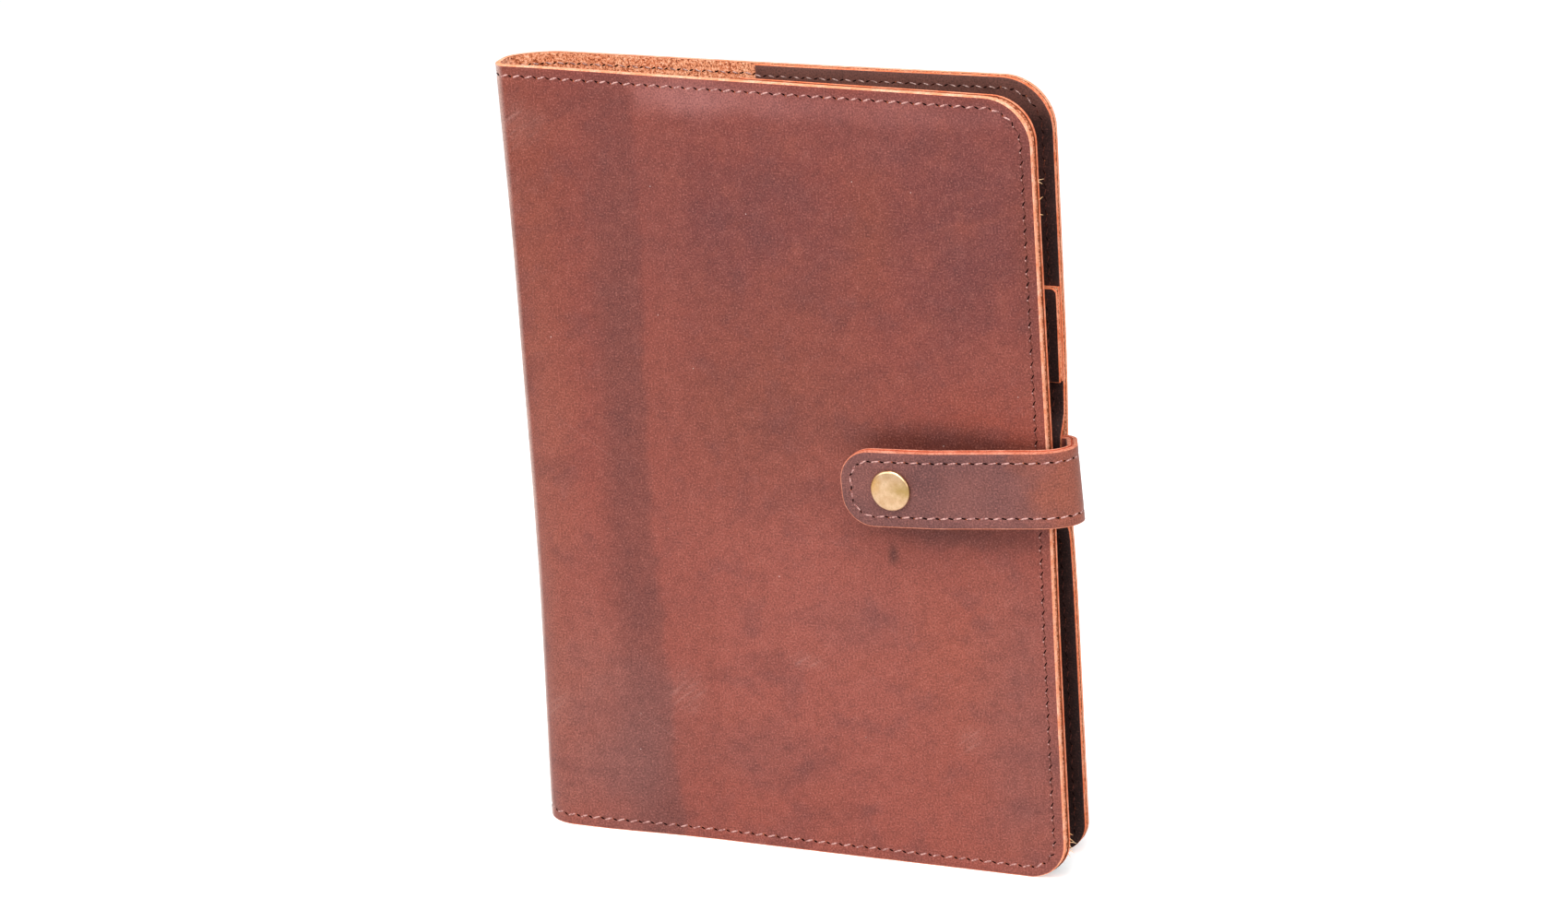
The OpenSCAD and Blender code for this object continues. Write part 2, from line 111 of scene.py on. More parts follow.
def cover_walk(left, roll_r, roll_deg, turn_r, fold_r):
    """The sheet's outside in plan: the back rolls and turns into the spine, the front folds out of it."""
    roll = math.radians(roll_deg)
    edge = flared(front_fore, front_out)
    start_x = left + fold_r * (1 - math.sin(flare))
    start_y = edge.y + (edge.x - start_x) * math.tan(flare)
    spine_flat = (back_out - start_y - roll_r * (1 - math.cos(roll)) - turn_r * math.cos(roll)
                  - fold_r * math.cos(flare))
    legs = [(back_fore - left - roll_r * math.sin(roll) - turn_r * (1 - math.sin(roll)), 0),
            turning(roll_r, roll_deg), turning(turn_r, 90 - roll_deg), (spine_flat, 0),
            turning(fold_r, 90 - math.degrees(flare)), ((edge.x - start_x) / math.cos(flare), 0)]
    return walk((back_fore, back_out), 180, legs), [length for length, turn in legs]


def reaches(legs):
    """The lengths of the sheet from the middle of the spine to its two fore edges."""
    return sum(legs[:3]) + legs[3] / 2, legs[3] / 2 + sum(legs[4:])


# at the head the front folds tightly; towards the foot it opens into a wide roll that pushes the spine out
foot_out = 1.7 * mm
head_line, head_legs = cover_walk(spine_x, roll_r=22 * mm, roll_deg=40, turn_r=8 * mm, fold_r=3.8 * mm)
foot_line, foot_legs = cover_walk(spine_x - foot_out, roll_r=22 * mm, roll_deg=5, turn_r=5 * mm,
                                  fold_r=11 * mm)
back_reach, front_reach = reaches(head_legs)
foot_back_reach, foot_front_reach = reaches(foot_legs)
foot_fades = 0.85 * cover_h

# how far the soft sheet sinks inwards: the spine bows, the front swells at its foot, the back fore edge
# stands out, both fore edges are drawn in at the strap and the rest waves
spine_bow, spine_bow_w = 1.0 * mm, 12 * mm
head_bulge = 0.5 * mm
foot_bulge, foot_bulge_s, foot_bulge_w = 2.0 * mm, 24 * mm, 24 * mm
back_spread = 1.3 * mm
front_pinch, front_pinch_h = 1.0 * mm, 38 * mm
back_pinch, back_pinch_h = 2.6 * mm, 24 * mm
pinch_from = 0.55
strap_z = 120 * mm
wave, wave_l = 0.35 * mm, 70 * mm


def smooth(value, low, high):
    """0 before low, 1 after high, with a soft rise between."""
    share = min(max((value - low) / (high - low), 0.0), 1.0)
    return share * share * (3 - 2 * share)


def swell(s, z):
    """How far a point of the folded sheet lies inside the plain folded line."""
    height = z / cover_h
    bow = spine_bow * 4 * height * (1 - height) - head_bulge * smooth(height, 0.7, 1)
    bow *= math.exp(-(s / spine_bow_w) ** 2)
    bulge = foot_bulge * (1 - smooth(height, 0, 0.5)) * math.exp(-((s - foot_bulge_s) / foot_bulge_w) ** 2)
    if s > 0:
        near_fore = smooth(s, pinch_from * front_reach, front_reach)
        drawn = front_pinch * math.exp(-((z - strap_z) / front_pinch_h) ** 2) * near_fore
    else:
        near_fore = smooth(-s, pinch_from * back_reach, back_reach)
        drawn = (back_pinch * math.exp(-((z - strap_z) / back_pinch_h) ** 2) - back_spread) * near_fore
    return bow - bulge + drawn + wave * noise.noise(Vector((s / wave_l, 0.5, z / wave_l)))


def folded(s, depth, z):
    """Where a point of the flat sheet lies once it is folded; s is measured from the middle of the spine."""
    rolled = 1 - smooth(z, 0, foot_fades)
    at, way = along(head_line, s + back_reach)
    stretch = foot_front_reach / front_reach if s > 0 else foot_back_reach / back_reach
    foot_at, foot_way = along(foot_line, foot_back_reach + s * stretch)
    at, way = at.lerp(foot_at, rolled), way + (foot_way - way) * rolled
    inward = depth + swell(s, z)
    return Vector((at.x - math.sin(way) * inward, at.y + math.cos(way) * inward, z))


def everything(bm):
    return bm.verts[:] + bm.edges[:] + bm.faces[:]


def cut_flat(low, high, rounded, thickness, soft, lines, seam=None):
    """A flat piece between two corners in s and z: rounded corners, soft edges and lines to bend on.

    A seam of (margin, press) sinks a groove of that depth at that distance from the edge of its outside.
    """
    bm = bmesh.new()
    corners = [(low[0], low[1]), (high[0], low[1]), (high[0], high[1]), (low[0], high[1])]
    verts = [bm.verts.new((s, 0, z)) for s, z in corners]
    bm.faces.new(verts)
    for i, r in rounded.items():
        bmesh.ops.bevel(bm, geom=[verts[i]], offset=r, offset_type="OFFSET", affect="VERTICES", segments=12,
                        profile=0.5, material=-1)
    made = bmesh.ops.extrude_face_region(bm, geom=bm.faces[:])["geom"]
    inside = [x for x in made if isinstance(x, bmesh.types.BMVert)]
    bmesh.ops.translate(bm, vec=(0, thickness, 0), verts=inside)
    bmesh.ops.recalc_face_normals(bm, faces=bm.faces[:])
    rim = [e for e in bm.edges if abs(e.verts[0].co.y - e.verts[1].co.y) < thickness / 2]
    bmesh.ops.bevel(bm, geom=rim, offset=soft, offset_type="OFFSET", affect="EDGES", segments=2,
                    profile=0.5, material=-1, clamp_overlap=True)
    if seam:
        margin, press = seam
        face = min(bm.faces, key=lambda f: f.normal.y * f.calc_area())
        for width, depth in ((0.7 * margin - soft, 0.0), (0.3 * margin, -press), (0.4 * margin, press)):
            bmesh.ops.inset_region(bm, faces=[face], thickness=width, depth=depth, use_even_offset=True)
    for normal, values in zip(((1, 0, 0), (0, 0, 1)), lines):
        for value in values:
            bmesh.ops.bisect_plane(bm, geom=everything(bm), plane_co=Vector(normal) * value, plane_no=normal)
    return bm


def steps(start, end, pitch):
    """Evenly spaced values between two ends, the ends left out."""
    count = max(round(abs(end - start) / pitch), 1)
    return [start + (end - start) * i / count for i in range(1, count)]


def run_of(legs):
    return sum(length for length, turn in legs)


def rounded_off(bm, sharp_deg):
    """Smooth faces, with the edges kept sharp that turn by more than an angle."""
    for face in bm.faces:
        face.smooth = True
    for edge in bm.edges:
        edge.smooth = len(edge.link_faces) == 2 and edge.calc_face_angle() < math.radians(sharp_deg)


def as_object(bm, name, finishes):
    """Makes a finished mesh an object of the scene."""
    mesh = bpy.data.meshes.new(name)
    bm.to_mesh(mesh)
    bm.free()
    for finish in finishes:
        mesh.materials.append(finish)
    piece = bpy.data.objects.new(name, mesh)
    bpy.context.scene.collection.objects.link(piece)
    return piece


# the y of a face's normal on the flat piece: up to the first it is outside, beyond the second inside, and
# beyond the third, towards the next layer, it is the glued half of the edge
outside_facing, inside_facing, glued_facing = -0.95, 0.85, 0.3


def shaped(bm, name, place, finishes, glued=0):
    """Bends a flat piece into place and makes it an object.

    Its finishes are for the outside, the raw edge, the inside and, on the side where it is glued to the next
    layer, the line along that edge.
    """
    layer = bm.verts.layers.float_vector.new("sheet")
    for face in bm.faces:
        facing = face.normal.y
        if face.material_index == 0 and facing > outside_facing:
            face.material_index = 2 if facing > inside_facing else 3 if facing * glued > glued_facing else 1
    for vert in bm.verts:
        vert[layer] = vert.co
        vert.co = place(*vert.co)
    bm.normal_update()
    rounded_off(bm, 50)
    return as_object(bm, name, finishes)


class Paint:
    """A socket of a node tree; sums and products of sockets add the Math nodes that work them out."""

    def __init__(self, tree, socket=None):
        self.tree = tree
        self.socket = socket

    def node(self, kind, sockets, out=0, **settings):
        made = self.tree.nodes.new("ShaderNode" + kind)
        for name, value in settings.items():
            setattr(made, name, value)
        for name, value in sockets.items():
            if isinstance(value, Paint):
                self.tree.links.new(value.socket, made.inputs[name])
            else:
                made.inputs[name].default_value = value
        return Paint(self.tree, made.outputs[out])

    def math(self, operation, a, b):
        return self.node("Math", {0: a, 1: b}, operation=operation)

    def __add__(self, other):
        return self.math("ADD", self, other)

    def __sub__(self, other):
        return self.math("SUBTRACT", self, other)

    def __rsub__(self, other):
        return self.math("SUBTRACT", other, self)

    def __mul__(self, other):
        return self.math("MULTIPLY", self, other)

    __radd__ = __add__
    __rmul__ = __mul__


def shade(code):
    """A colour as it is seen, such as a955a0, in the linear values that shaders take."""
    parts = [int(code[i:i + 2], 16) / 255 for i in (0, 2, 4)]
    return (*[x / 12.92 if x <= 0.04045 else ((x + 0.055) / 1.055) ** 2.4 for x in parts], 1)


def rise(value, low, high):
    """A soft step from 0 at low to 1 at high."""
    return value.node("MapRange", {"Value": value, "From Min": low, "From Max": high}, "Result",
                      interpolation_type="SMOOTHSTEP")


def cloud(place, scale, detail=3.0, rough=0.55):
    sockets = {"Vector": place, "Scale": scale, "Detail": detail, "Roughness": rough}
    return place.node("TexNoise", sockets, "Fac")


def cells(place, scale, feature="F1", out="Distance"):
    return place.node("TexVoronoi", {"Vector": place, "Scale": scale}, out, feature=feature)


def mixed(mask, under, over):
    return mask.node("Mix", {0: mask, 6: under, 7: over}, 2, data_type="RGBA")


def painted(colour, *layers):
    """Lays tints over a colour, each as strongly as its mask says."""
    for mask, tint in layers:
        colour = mixed(mask, colour, shade(tint))
    return colour


def stretched(place, turn_deg, scale):
    """Coordinates turned in the plane of the sheet and then stretched, for strokes and fibres."""
    turned = place.node("VectorRotate", {"Vector": place, "Angle": math.radians(turn_deg)}, "Vector",
                        rotation_type="Y_AXIS")
    return turned.node("VectorMath", {0: turned, 1: scale}, "Vector", operation="MULTIPLY")


def new_finish(name, **constants):
    """A finish with its fixed shader values."""
    finish = bpy.data.materials.new(name)
    finish.use_nodes = True
    shader = finish.node_tree.nodes["Principled BSDF"]
    for socket, value in constants.items():
        shader.inputs[socket.replace("_", " ")].default_value = value
    return finish


def across_and_up(place):
    return [place.node("SeparateXYZ", {0: place}, axis) for axis in "XZ"]


def flat_place(finish):
    """The sheet's flat coordinates, and s and z by themselves."""
    place = Paint(finish.node_tree).node("Attribute", {}, "Vector", attribute_name="sheet")
    return (place, *across_and_up(place))


def own_place(finish):
    return Paint(finish.node_tree).node("TexCoord", {}, "Object")


def lay(finish, colour, roughness, height=None, bump=0.3, depth=0.1 * mm):
    """Joins the painted values to the shader of a finish."""
    tree = finish.node_tree
    shader = tree.nodes["Principled BSDF"]
    tree.links.new(colour.socket, shader.inputs["Base Color"])
    tree.links.new(roughness.socket, shader.inputs["Roughness"])
    if height:
        normal = height.node("Bump", {"Strength": bump, "Distance": depth, "Height": height})
        tree.links.new(normal.socket, shader.inputs["Normal"])
    return finish


def grain_finish(name, patina, rough=0.5, bump=0.35, shadow="3a1a18", light="c07a6c"):
    """Waxed grain leather: a patina with fine mottling, pores and creases, and pale specks of dust."""
    finish = new_finish(name, Specular_IOR_Level=0.25, Sheen_Weight=0.1, Sheen_Roughness=0.3)
    place, s, z = flat_place(finish)
    fine = cloud(place, 1900, 3.0, 0.6)
    mottle = cloud(place, 240, 5.0, 0.75)
    pores = cells(place, 1500)
    creases = cells(place, 420, "DISTANCE_TO_EDGE")
    picked = place.node("SeparateColor", {0: cells(place, 170, out="Color")})
    fleck = (1 - rise(cells(place, 170), 0.014, 0.03)) * rise(picked, 0.5, 0.55)
    colour = painted(
        patina(place, s, z),
        ((1 - rise(mottle, 0.3, 0.55)) * 0.24, shadow), (rise(mottle, 0.5, 0.78) * 0.2, light),
        ((1 - rise(fine, 0.32, 0.56)) * 0.5, shadow), (rise(fine, 0.52, 0.72) * 0.44, light),
        (fleck * 0.8, "f2ddd6"))
    roughness = rough + 0.25 * (cloud(place, 60, 4.0) - 0.5) + 0.12 * (fine - 0.5)
    height = 0.5 * fine + 0.4 * mottle + 0.4 * pores + 0.3 * rise(creases, 0.0, 0.12)
    return lay(finish, colour, roughness, height, bump, 0.12 * mm)


def blot(s, z, uneven, at, size):
    """A soft patch with an uneven border: its middle and its half sizes in s and z."""
    across = (s - at[0] * mm) * (1 / (size[0] * mm))
    upward = (z - at[1] * mm) * (1 / (size[1] * mm))
    reach = across.math("SQRT", across * across + upward * upward, 0.0)
    return 1 - rise(reach + 1.8 * (uneven - 0.5), 0.0, 1.7)


# the patches of wax and wear on the front cover, and the painted shadow above and below the strap: middle, half
# sizes, colour, strength
cover_blots = (
    ((76, 193), (32, 22), "6c3634", 0.8),
    ((152, 196), (24, 36), "693433", 0.85),
    ((120, 192), (7, 26), "82402f", 0.5),
    ((169, 185), (5, 36), "77382b", 0.6),
    ((120, 220), (46, 10), "7a403c", 0.4),
    ((84, 135), (34, 34), "783e2f", 0.6),
    ((157, 137), (20, 13), "944432", 0.7),
    # painted shadow above the strap and below it, partly also leather darkened by wax there
    ((141, 132), (32, 5), "48201a", 0.7),
    ((143, 104), (34, 4), "562822", 0.75),
    ((104, 70), (58, 46), "9b5246", 0.8),
    ((142, 66), (18, 22), "a2543f", 0.4),
    ((164, 40), (16, 44), "874e46", 0.7),
    ((112, 74), (14, 8), "764440", 0.5),
    ((78, 28), (24, 10), "7c4741", 0.4),
    ((20, 36), (22, 44), "92594f", 0.7),
    ((123, 96.5), (1.6, 3.2), "3d2220", 0.7),
    ((10, 190), (16, 60), "874231", 0.7),
    ((8, 90), (12, 70), "9b5645", 0.7))
# where the cover is scuffed: middle and half sizes
scuff_spots = (
    ((8, 219), (8, 6)), ((3, 197), (4, 9)), ((3, 163), (4, 6)), ((12, 37), (8, 6)), ((56, 47), (5, 6)),
    ((95, 60), (5, 2.5)), ((144, 41), (4, 4)))

# where the front fold shows from outside, along the sheet at the head and at the foot; a pale line is painted there
# as the fold's grazing reflection
head_fold_reflection = head_legs[3] / 2 + 0.38 * head_legs[4]
foot_fold_reflection = (foot_legs[3] / 2 + 0.38 * foot_legs[4]) * front_reach / foot_front_reach


def cover_patina(place, s, z):
    """Waxed brown, darker towards the head, with cool dark patches, warm rubbed ones, a dark stripe, scuffs beside
    the spine, painted shadow by the strap, a painted highlight at the head and a painted pale reflection along the
    fold.
    """
    patch = cloud(place, 34, 5.0, 0.55)
    drift = cloud(place, 85, 4.0, 0.55)
    wisp = cloud(stretched(place, 25, (26, 1, 75)), 1.0, 4.0, 0.6)
    upper = rise(z + 0.12 * (patch - 0.5), 0.03, 0.235)
    blots = [(blot(s, z, patch, at, size) * strength, tint) for at, size, tint, strength in cover_blots]
    across = s + 0.008 * (wisp - 0.5) - 0.0055 * (1 - rise(z, 0.0, cover_h / 2))
    stripe = rise(across, 27 * mm, 38 * mm) * (1 - rise(across, 45 * mm, 49 * mm))
    faded = 1 - 0.45 * rise(z, 0.15, 0.225)
    ridge = rise(across, 46 * mm, 49 * mm) * (1 - rise(across, 57 * mm, 67 * mm))
    front = rise(s, -1 * mm, 3 * mm)
    # a painted highlight across the head, where the leather curves over the top of the notebook
    painted_sheen = blot(s, z, patch, (64, 230.5), (28, 5)) * rise(across, 45 * mm, 50 * mm)
    painted_sheen += 0.4 * blot(s, z, patch, (120, 229.5), (44, 4))
    # the pale line painted along the fold stands for its grazing reflection
    fold_reflection_line = foot_fold_reflection + (head_fold_reflection - foot_fold_reflection) * rise(z, 0.0, foot_fades)
    off_fold = s.math("ABSOLUTE", s - fold_reflection_line, 0.0)
    strokes = cloud(stretched(place, 38, (95, 1, 760)), 1.0, 3.0, 0.55)
    rubbed = 0.06 + sum(blot(s, z, patch, at, size) for at, size in scuff_spots)
    hairlines = cloud(stretched(place, -32, (10, 1, 1100)), 1.0, 2.0, 0.5)
    return painted(
        mixed(upper, shade("944a3d"), shade("7d3b33")), *blots,
        (rise(wisp, 0.5, 0.75) * 0.4, "954c3c"), ((1 - rise(wisp, 0.3, 0.5)) * 0.4, "65332f"),
        (rise(drift, 0.5, 0.7) * 0.35, "944c3d"), ((1 - rise(drift, 0.32, 0.5)) * 0.3, "653a3a"),
        (stripe * (0.15 + 0.8 * patch) * faded, "673833"),
        (blot(s, z, patch, (40, 20), (15, 26)) * 0.7, "7b4e49"), (ridge * 0.4, "8c463a"),
        (painted_sheen * 0.45, "b27672"),
        ((1 - rise(off_fold, 0.4 * mm, 3.4 * mm)) * (0.35 + 0.7 * drift), "eccabe"),
        ((0.08 + 0.26 * rise(strokes, 0.46, 0.74)) * front * rubbed, "c6958a"),
        (rise(hairlines, 0.71, 0.8) * 0.35, "c09084"))


def raw_edge(name, deep, plain, rubbed):
    """Cut edge of the leather: bare orange fibre in thin layers, paler where it is rubbed."""
    finish = new_finish(name, Specular_IOR_Level=0.2)
    place = own_place(finish)
    fibre = cloud(place, 1500, 4.0, 0.7)
    patch = cloud(place, 190, 4.0, 0.6)
    colour = painted(shade(plain), (rise(patch, 0.35, 0.68), rubbed),
                     ((1 - rise(fibre, 0.32, 0.56)) * 0.7, deep))
    return lay(finish, colour, 0.8 + 0.15 * (fibre - 0.5), fibre, 0.7, 0.25 * mm)


cover_grain = grain_finish("waxed_cover_leather", cover_patina)
edge_finish = raw_edge("raw_edge", "cc643c", "f69a72", "ffbe9e")
glue_line = raw_edge("glue_line", "3a160a", "6a2e18", "8a4426")
flap_edge_finish = raw_edge("raw_flap_edge", "a83e1a", "e8784c", "f49c78")
# the flesh side is a short orange-brown nap with darker furrows
suede_finish = new_finish("suede", Specular_IOR_Level=0.1, Sheen_Weight=0.25, Sheen_Roughness=0.5)
place = own_place(suede_finish)
nap = cloud(place, 1150, 4.0, 0.85)
colour = painted(shade("dc7c4e"), (rise(cloud(place, 110, 4.0, 0.6), 0.3, 0.7), "ec9c70"),
                 (rise(nap, 0.5, 0.62) * 0.75, "ffd0b0"), ((1 - rise(nap, 0.4, 0.52)) * 0.95, "702608"))
lay(suede_finish, colour, 0.9 + 0.08 * (nap - 0.5), nap, 0.9, 0.45 * mm)

spine_half = head_legs[3] / 2
fold_from = -(spine_half + head_legs[2] + head_legs[1])
fold_to = spine_half + head_legs[4]
roll_to = foot_legs[3] / 2 + foot_legs[4]
spine_hold, front_hold = 3 * mm, 1.4 * mm
bend_pitch, flat_pitch = 0.9 * mm, 6 * mm
sheet_lines = (
    steps(-back_reach, fold_from, flat_pitch) + [fold_from] + steps(fold_from, roll_to, bend_pitch)
    + [roll_to] + steps(roll_to, front_reach, flat_pitch),
    steps(0, cover_h, flat_pitch))
sheet = cut_flat((-back_reach, 0), (front_reach, cover_h), dict(enumerate(corner_r.values())), leather_t,
                 edge_soft, sheet_lines, (seam_margin, seam_press))


def half_of(bm, side):
    """The part of a flat piece on one side of s = 0, closed where it is cut."""
    half = bm.copy()
    bmesh.ops.bisect_plane(half, geom=everything(half), plane_co=(0, 0, 0), plane_no=(side, 0, 0),
                           clear_inner=True)
    bmesh.ops.edgeloop_fill(half, edges=[e for e in half.edges if e.is_boundary])
    return half


def plan_point(s, z=cover_h / 2):
    return folded(s, 0, z)


# bend_back and bend_front bake each piece's placement into its mesh; the sheet is cut at the middle of the spine
def bend_back(piece):
    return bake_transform(piece, "back_cover", "spine", plan_point(fold_from), plan_point(-spine_half - spine_hold))


def bend_front(piece):
    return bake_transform(piece, "spine", "front_cover", plan_point(spine_half + front_hold, cover_h),
                    plan_point(fold_to, cover_h))


leather_finishes = (cover_grain, edge_finish, suede_finish, glue_line)
back_leather = shaped(half_of(sheet, -1), "back_and_spine_leather", folded, leather_finishes, 1)
front_leather = shaped(half_of(sheet, 1), "front_leather", folded, leather_finishes, 1)
sheet.free()
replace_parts(bend_back(back_leather), "back_panel", "spine_leather")
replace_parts(bend_front(front_leather), "front_panel")


# Inside flaps
# Each cover has a flap of thinner dark leather, sewn in along three sides to make a pocket for the notebook's
# card cover. The back flap also rises over the tail of the strap, which is sewn in below it.
flap_t = 1.6 * mm
flap_w = 90 * mm
flap_gap = 0.3 * mm
flap_proud = 0.4 * mm
card_t = 0.9 * mm
pocket_h = card_t + 0.2 * mm
book_lo, book_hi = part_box("notebook_back_cover")
pocket_soft = 9 * mm
tail_lo, tail_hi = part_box("strap_tail_lining")
tail_h = 3.4 * mm
tail_drop = 2.4 * mm
tail_soft = 7 * mm
tail_clear = 0.3 * mm


def fore_gap(s):
    """Distance of a point of the sheet from the fore edge of its own cover."""
    return (front_reach if s > 0 else back_reach) - abs(s)


def lift(s, z):
    """How far a flap stands off the leather behind it, over the card and over the strap's tail."""
    pocket_from = back_fore - book_hi.x
    over_card = smooth(fore_gap(s), pocket_from - pocket_soft, pocket_from)
    over_card *= smooth(z, book_lo.z - pocket_soft, book_lo.z)
    over_card *= 1 - smooth(z, book_hi.z, book_hi.z + pocket_soft)
    over_tail = 0.0
    if s < 0:
        tail_l = back_fore - tail_lo.x
        over_tail = 1 - smooth(fore_gap(s), tail_l, tail_l + tail_soft)
        over_tail *= smooth(z + tail_drop, tail_lo.z - tail_soft, tail_lo.z + 1 * mm)
        over_tail *= 1 - smooth(z + tail_drop, tail_hi.z - 1 * mm, tail_hi.z + tail_soft)
    return max(pocket_h * over_card, tail_h * over_tail)


def on_flap(s, depth, z):
    return folded(s, leather_t + flap_gap + depth + lift(s, z), z)


# the flap is dark brown leather, darkened further for the shade between the covers, and painted lighter towards the
# head for the light that falls in there from above
def flap_patina(place, s, z):
    patch = cloud(place, 38, 5.0, 0.6)
    head = rise(z + 0.006 * (patch - 0.5), cover_h - 16 * mm, cover_h - 4 * mm)
    strokes = cloud(stretched(place, 75, (30, 1, 500)), 1.0, 3.0, 0.5)
    return painted(shade("261311"), (rise(patch, 0.35, 0.7), "351d1a"), (head * 0.85, "6c433a"),
                   (rise(strokes, 0.62, 0.78) * 0.25, "6d4138"))


loose_fibre = raw_edge("loose_fibre", "d89a60", "f0bc84", "f8dcb4")
flap_grain = grain_finish("dark_flap_leather", flap_patina, 0.55, 0.4, "170b0a", "7c4a40")
# fibres that hang from the front flap's fore edge: height, length and slant in degrees
fibre_root_r, fibre_end_r = 0.13 * mm, 0.05 * mm
fibres = (
    (212, 1.8, 14), (211.6, 1.4, -30), (206.2, 1.5, 40), (201.9, 1.0, -5), (14, 1.2, -25), (12.5, 1.8, -40),
    (11.3, 2.1, -5), (10.1, 1.6, -50), (8.9, 2.0, -30), (7.7, 1.4, -60))
flap_finishes = (suede_finish, flap_edge_finish, flap_grain, glue_line, loose_fibre)
back_leaf = (-back_reach, flap_w - back_reach, {0: corner_r["back_foot"], 3: corner_r["back_head"]}, ())
front_leaf = (front_reach - flap_w, front_reach + flap_proud,
              {1: corner_r["front_foot"], 2: corner_r["front_head"] - 1 * mm}, fibres)
for name, (low_s, high_s, rounded, loose), ride_on in (
        ("back_flap_leaf", back_leaf, "back_cover"), ("front_flap_leaf", front_leaf, "front_cover")):
    flat = cut_flat((low_s, 0), (high_s, cover_h), rounded, flap_t, edge_soft,
                    (steps(low_s, high_s, 3 * mm), steps(0, cover_h, 3 * mm)))
    for z, length, slant in loose:
        foot_r = corner_r["front_foot"]
        inset = foot_r - math.sqrt(foot_r ** 2 - max(foot_r - z * mm, 0) ** 2)
        hair = (Matrix.Translation((high_s - inset, flap_t / 2, z * mm))
                @ Matrix.Rotation(math.radians(90 - slant), 4, "Y")
                @ Matrix.Translation((0, 0, length * mm / 2)))
        made = bmesh.ops.create_cone(flat, cap_ends=False, segments=4, radius1=fibre_root_r,
                                     radius2=fibre_end_r, depth=length * mm, matrix=hair)["verts"]
        for face in {face for vert in made for face in vert.link_faces}:
            face.material_index = 4
    leaf = shaped(flat, name, on_flap, flap_finishes, -1)
    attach(leaf, ride_on)
    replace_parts(leaf, name.replace("_leaf", ""))


# Pen loop
# A strip of thin dark leather is folded round a pen, doubled, and laid on the back flap; its two ends are
# caught in the fore-edge seam.
loop_lo, loop_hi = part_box("pen_loop")
loop_t = 1.1 * mm
loop_slack = 0.6 * mm
loop_corner_r, loop_soft = 1.8 * mm, 0.2 * mm
loop_out = back_fore - 0.1 * mm
loop_r = 5.6 * mm
loop_turn = 290
loop_mid_x = loop_lo.x + loop_r
loop_face = loop_hi.y - flap_gap
loop_end = math.radians(loop_turn - 270)
loop_pull_r = ((loop_r - 2 * loop_t - loop_slack) - loop_r * math.sin(loop_end)) / (1 + math.sin(loop_end))
loop_back_x = loop_mid_x + (loop_r + loop_pull_r) * math.cos(loop_end)
loop_legs = [(loop_out - loop_mid_x, 0), turning(loop_r, loop_turn), turning(loop_pull_r, 180 - loop_turn),
             (loop_out - loop_back_x, 0)]
loop_line = walk((loop_out, loop_face), 180, loop_legs)
loop_l = run_of(loop_legs)


def on_loop(s, depth, z):
    at, way = along(loop_line, s)
    drawn_in = swell(back_fore - at.x - back_reach, z)
    return Vector((at.x - math.sin(way) * depth, at.y + math.cos(way) * depth - drawn_in, z))


flat = cut_flat((0, loop_lo.z), (loop_l, loop_hi.z), {2: loop_corner_r}, loop_t, loop_soft,
                (steps(0, loop_l, 0.7 * mm), steps(loop_lo.z, loop_hi.z, 4 * mm)))
pen_loop = shaped(flat, "pen_loop_strip", on_loop, (flap_grain, flap_edge_finish, suede_finish))
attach(pen_loop, "back_cover")
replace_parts(pen_loop, "pen_loop")


# Cover stitching
# One waxed thread runs round the whole sheet and joins it to the flaps. Every stitch lies at a slant between
# two needle holes and shows on both sides of the leather.
stitch_pitch = 3.95 * mm
stitch_size = Vector((2.9 * mm, 0.58 * mm, 0.42 * mm))
stitch_slant = math.radians(20)
hole_size = Vector((2.0 * mm, 0.64 * mm, 0.24 * mm))
hole_slant = math.radians(-30)
burr_size = Vector((0.9 * mm, 0.3 * mm, 0.3 * mm))
burr_slant = math.radians(-55)
glint_size = Vector((0.8 * mm, 0.5 * mm, 0.45 * mm))
glint_on, glint_aside = 0.34, 0.36
burr_on, burr_aside = 0.3, 0.32 * mm
burr_chance, inside_burr_chance = 0.75, 0.2
sunk_hole_lift = 0.12 * mm
upright = 0.7
inside_share, strap_share, sunk_share = 0.75, 0.5, 0.65


def thread_finish(name, deep, pale, gloss=0.5):
    finish = new_finish(name, Specular_IOR_Level=gloss)
    ply = cloud(own_place(finish), 1400, 2.0)
    colour = painted(shade(deep), (rise(ply, 0.35, 0.62), pale))
    return lay(finish, colour, 0.3 + 0.2 * (ply - 0.5), ply, 0.4, 0.15 * mm)


def hole_finish(name, deep, frayed):
    finish = new_finish(name, Specular_IOR_Level=0.05)
    fray = cloud(own_place(finish), 900, 2.0)
    colour = painted(shade(deep), (rise(fray, 0.54, 0.72), frayed))
    return lay(finish, colour, 0.9 + 0.1 * (fray - 0.5))


# the thread inside the covers and the thread of the upright runs are darker copies of the thread, painted for the
# shade they lie in; the needle holes are dark beads painted for the shade inside them
thread = thread_finish("waxed_thread", "8d524c", "d2a198")
inner_thread = thread_finish("shaded_thread", "6a443c", "b8948c")
hole = hole_finish("needle_hole_painted_shade", "160605", "4a1d12")
burr = hole_finish("needle_burr", "a5502c", "e08a58")
painted_shade_thread = thread_finish("painted_shade_thread", "3c1a13", "6a382e", 0.1)


def stitches(start, heading, legs):
    """The middle and the heading of every stitch of a seam that is walked over legs."""
    line, length = walk(start, heading, legs), run_of(legs)
    count = round(length / stitch_pitch)
    return [along(line, (i + 0.5) * length / count) for i in range(count)]


def bead(segments, rings):
    """The points and faces of a small round bead."""
    bm = bmesh.new()
    bmesh.ops.create_uvsphere(bm, u_segments=segments, v_segments=rings, radius=1)
    points = [vert.co.copy() for vert in bm.verts]
    faces = [[vert.index for vert in face.verts] for face in bm.faces]
    bm.free()
    return points, faces


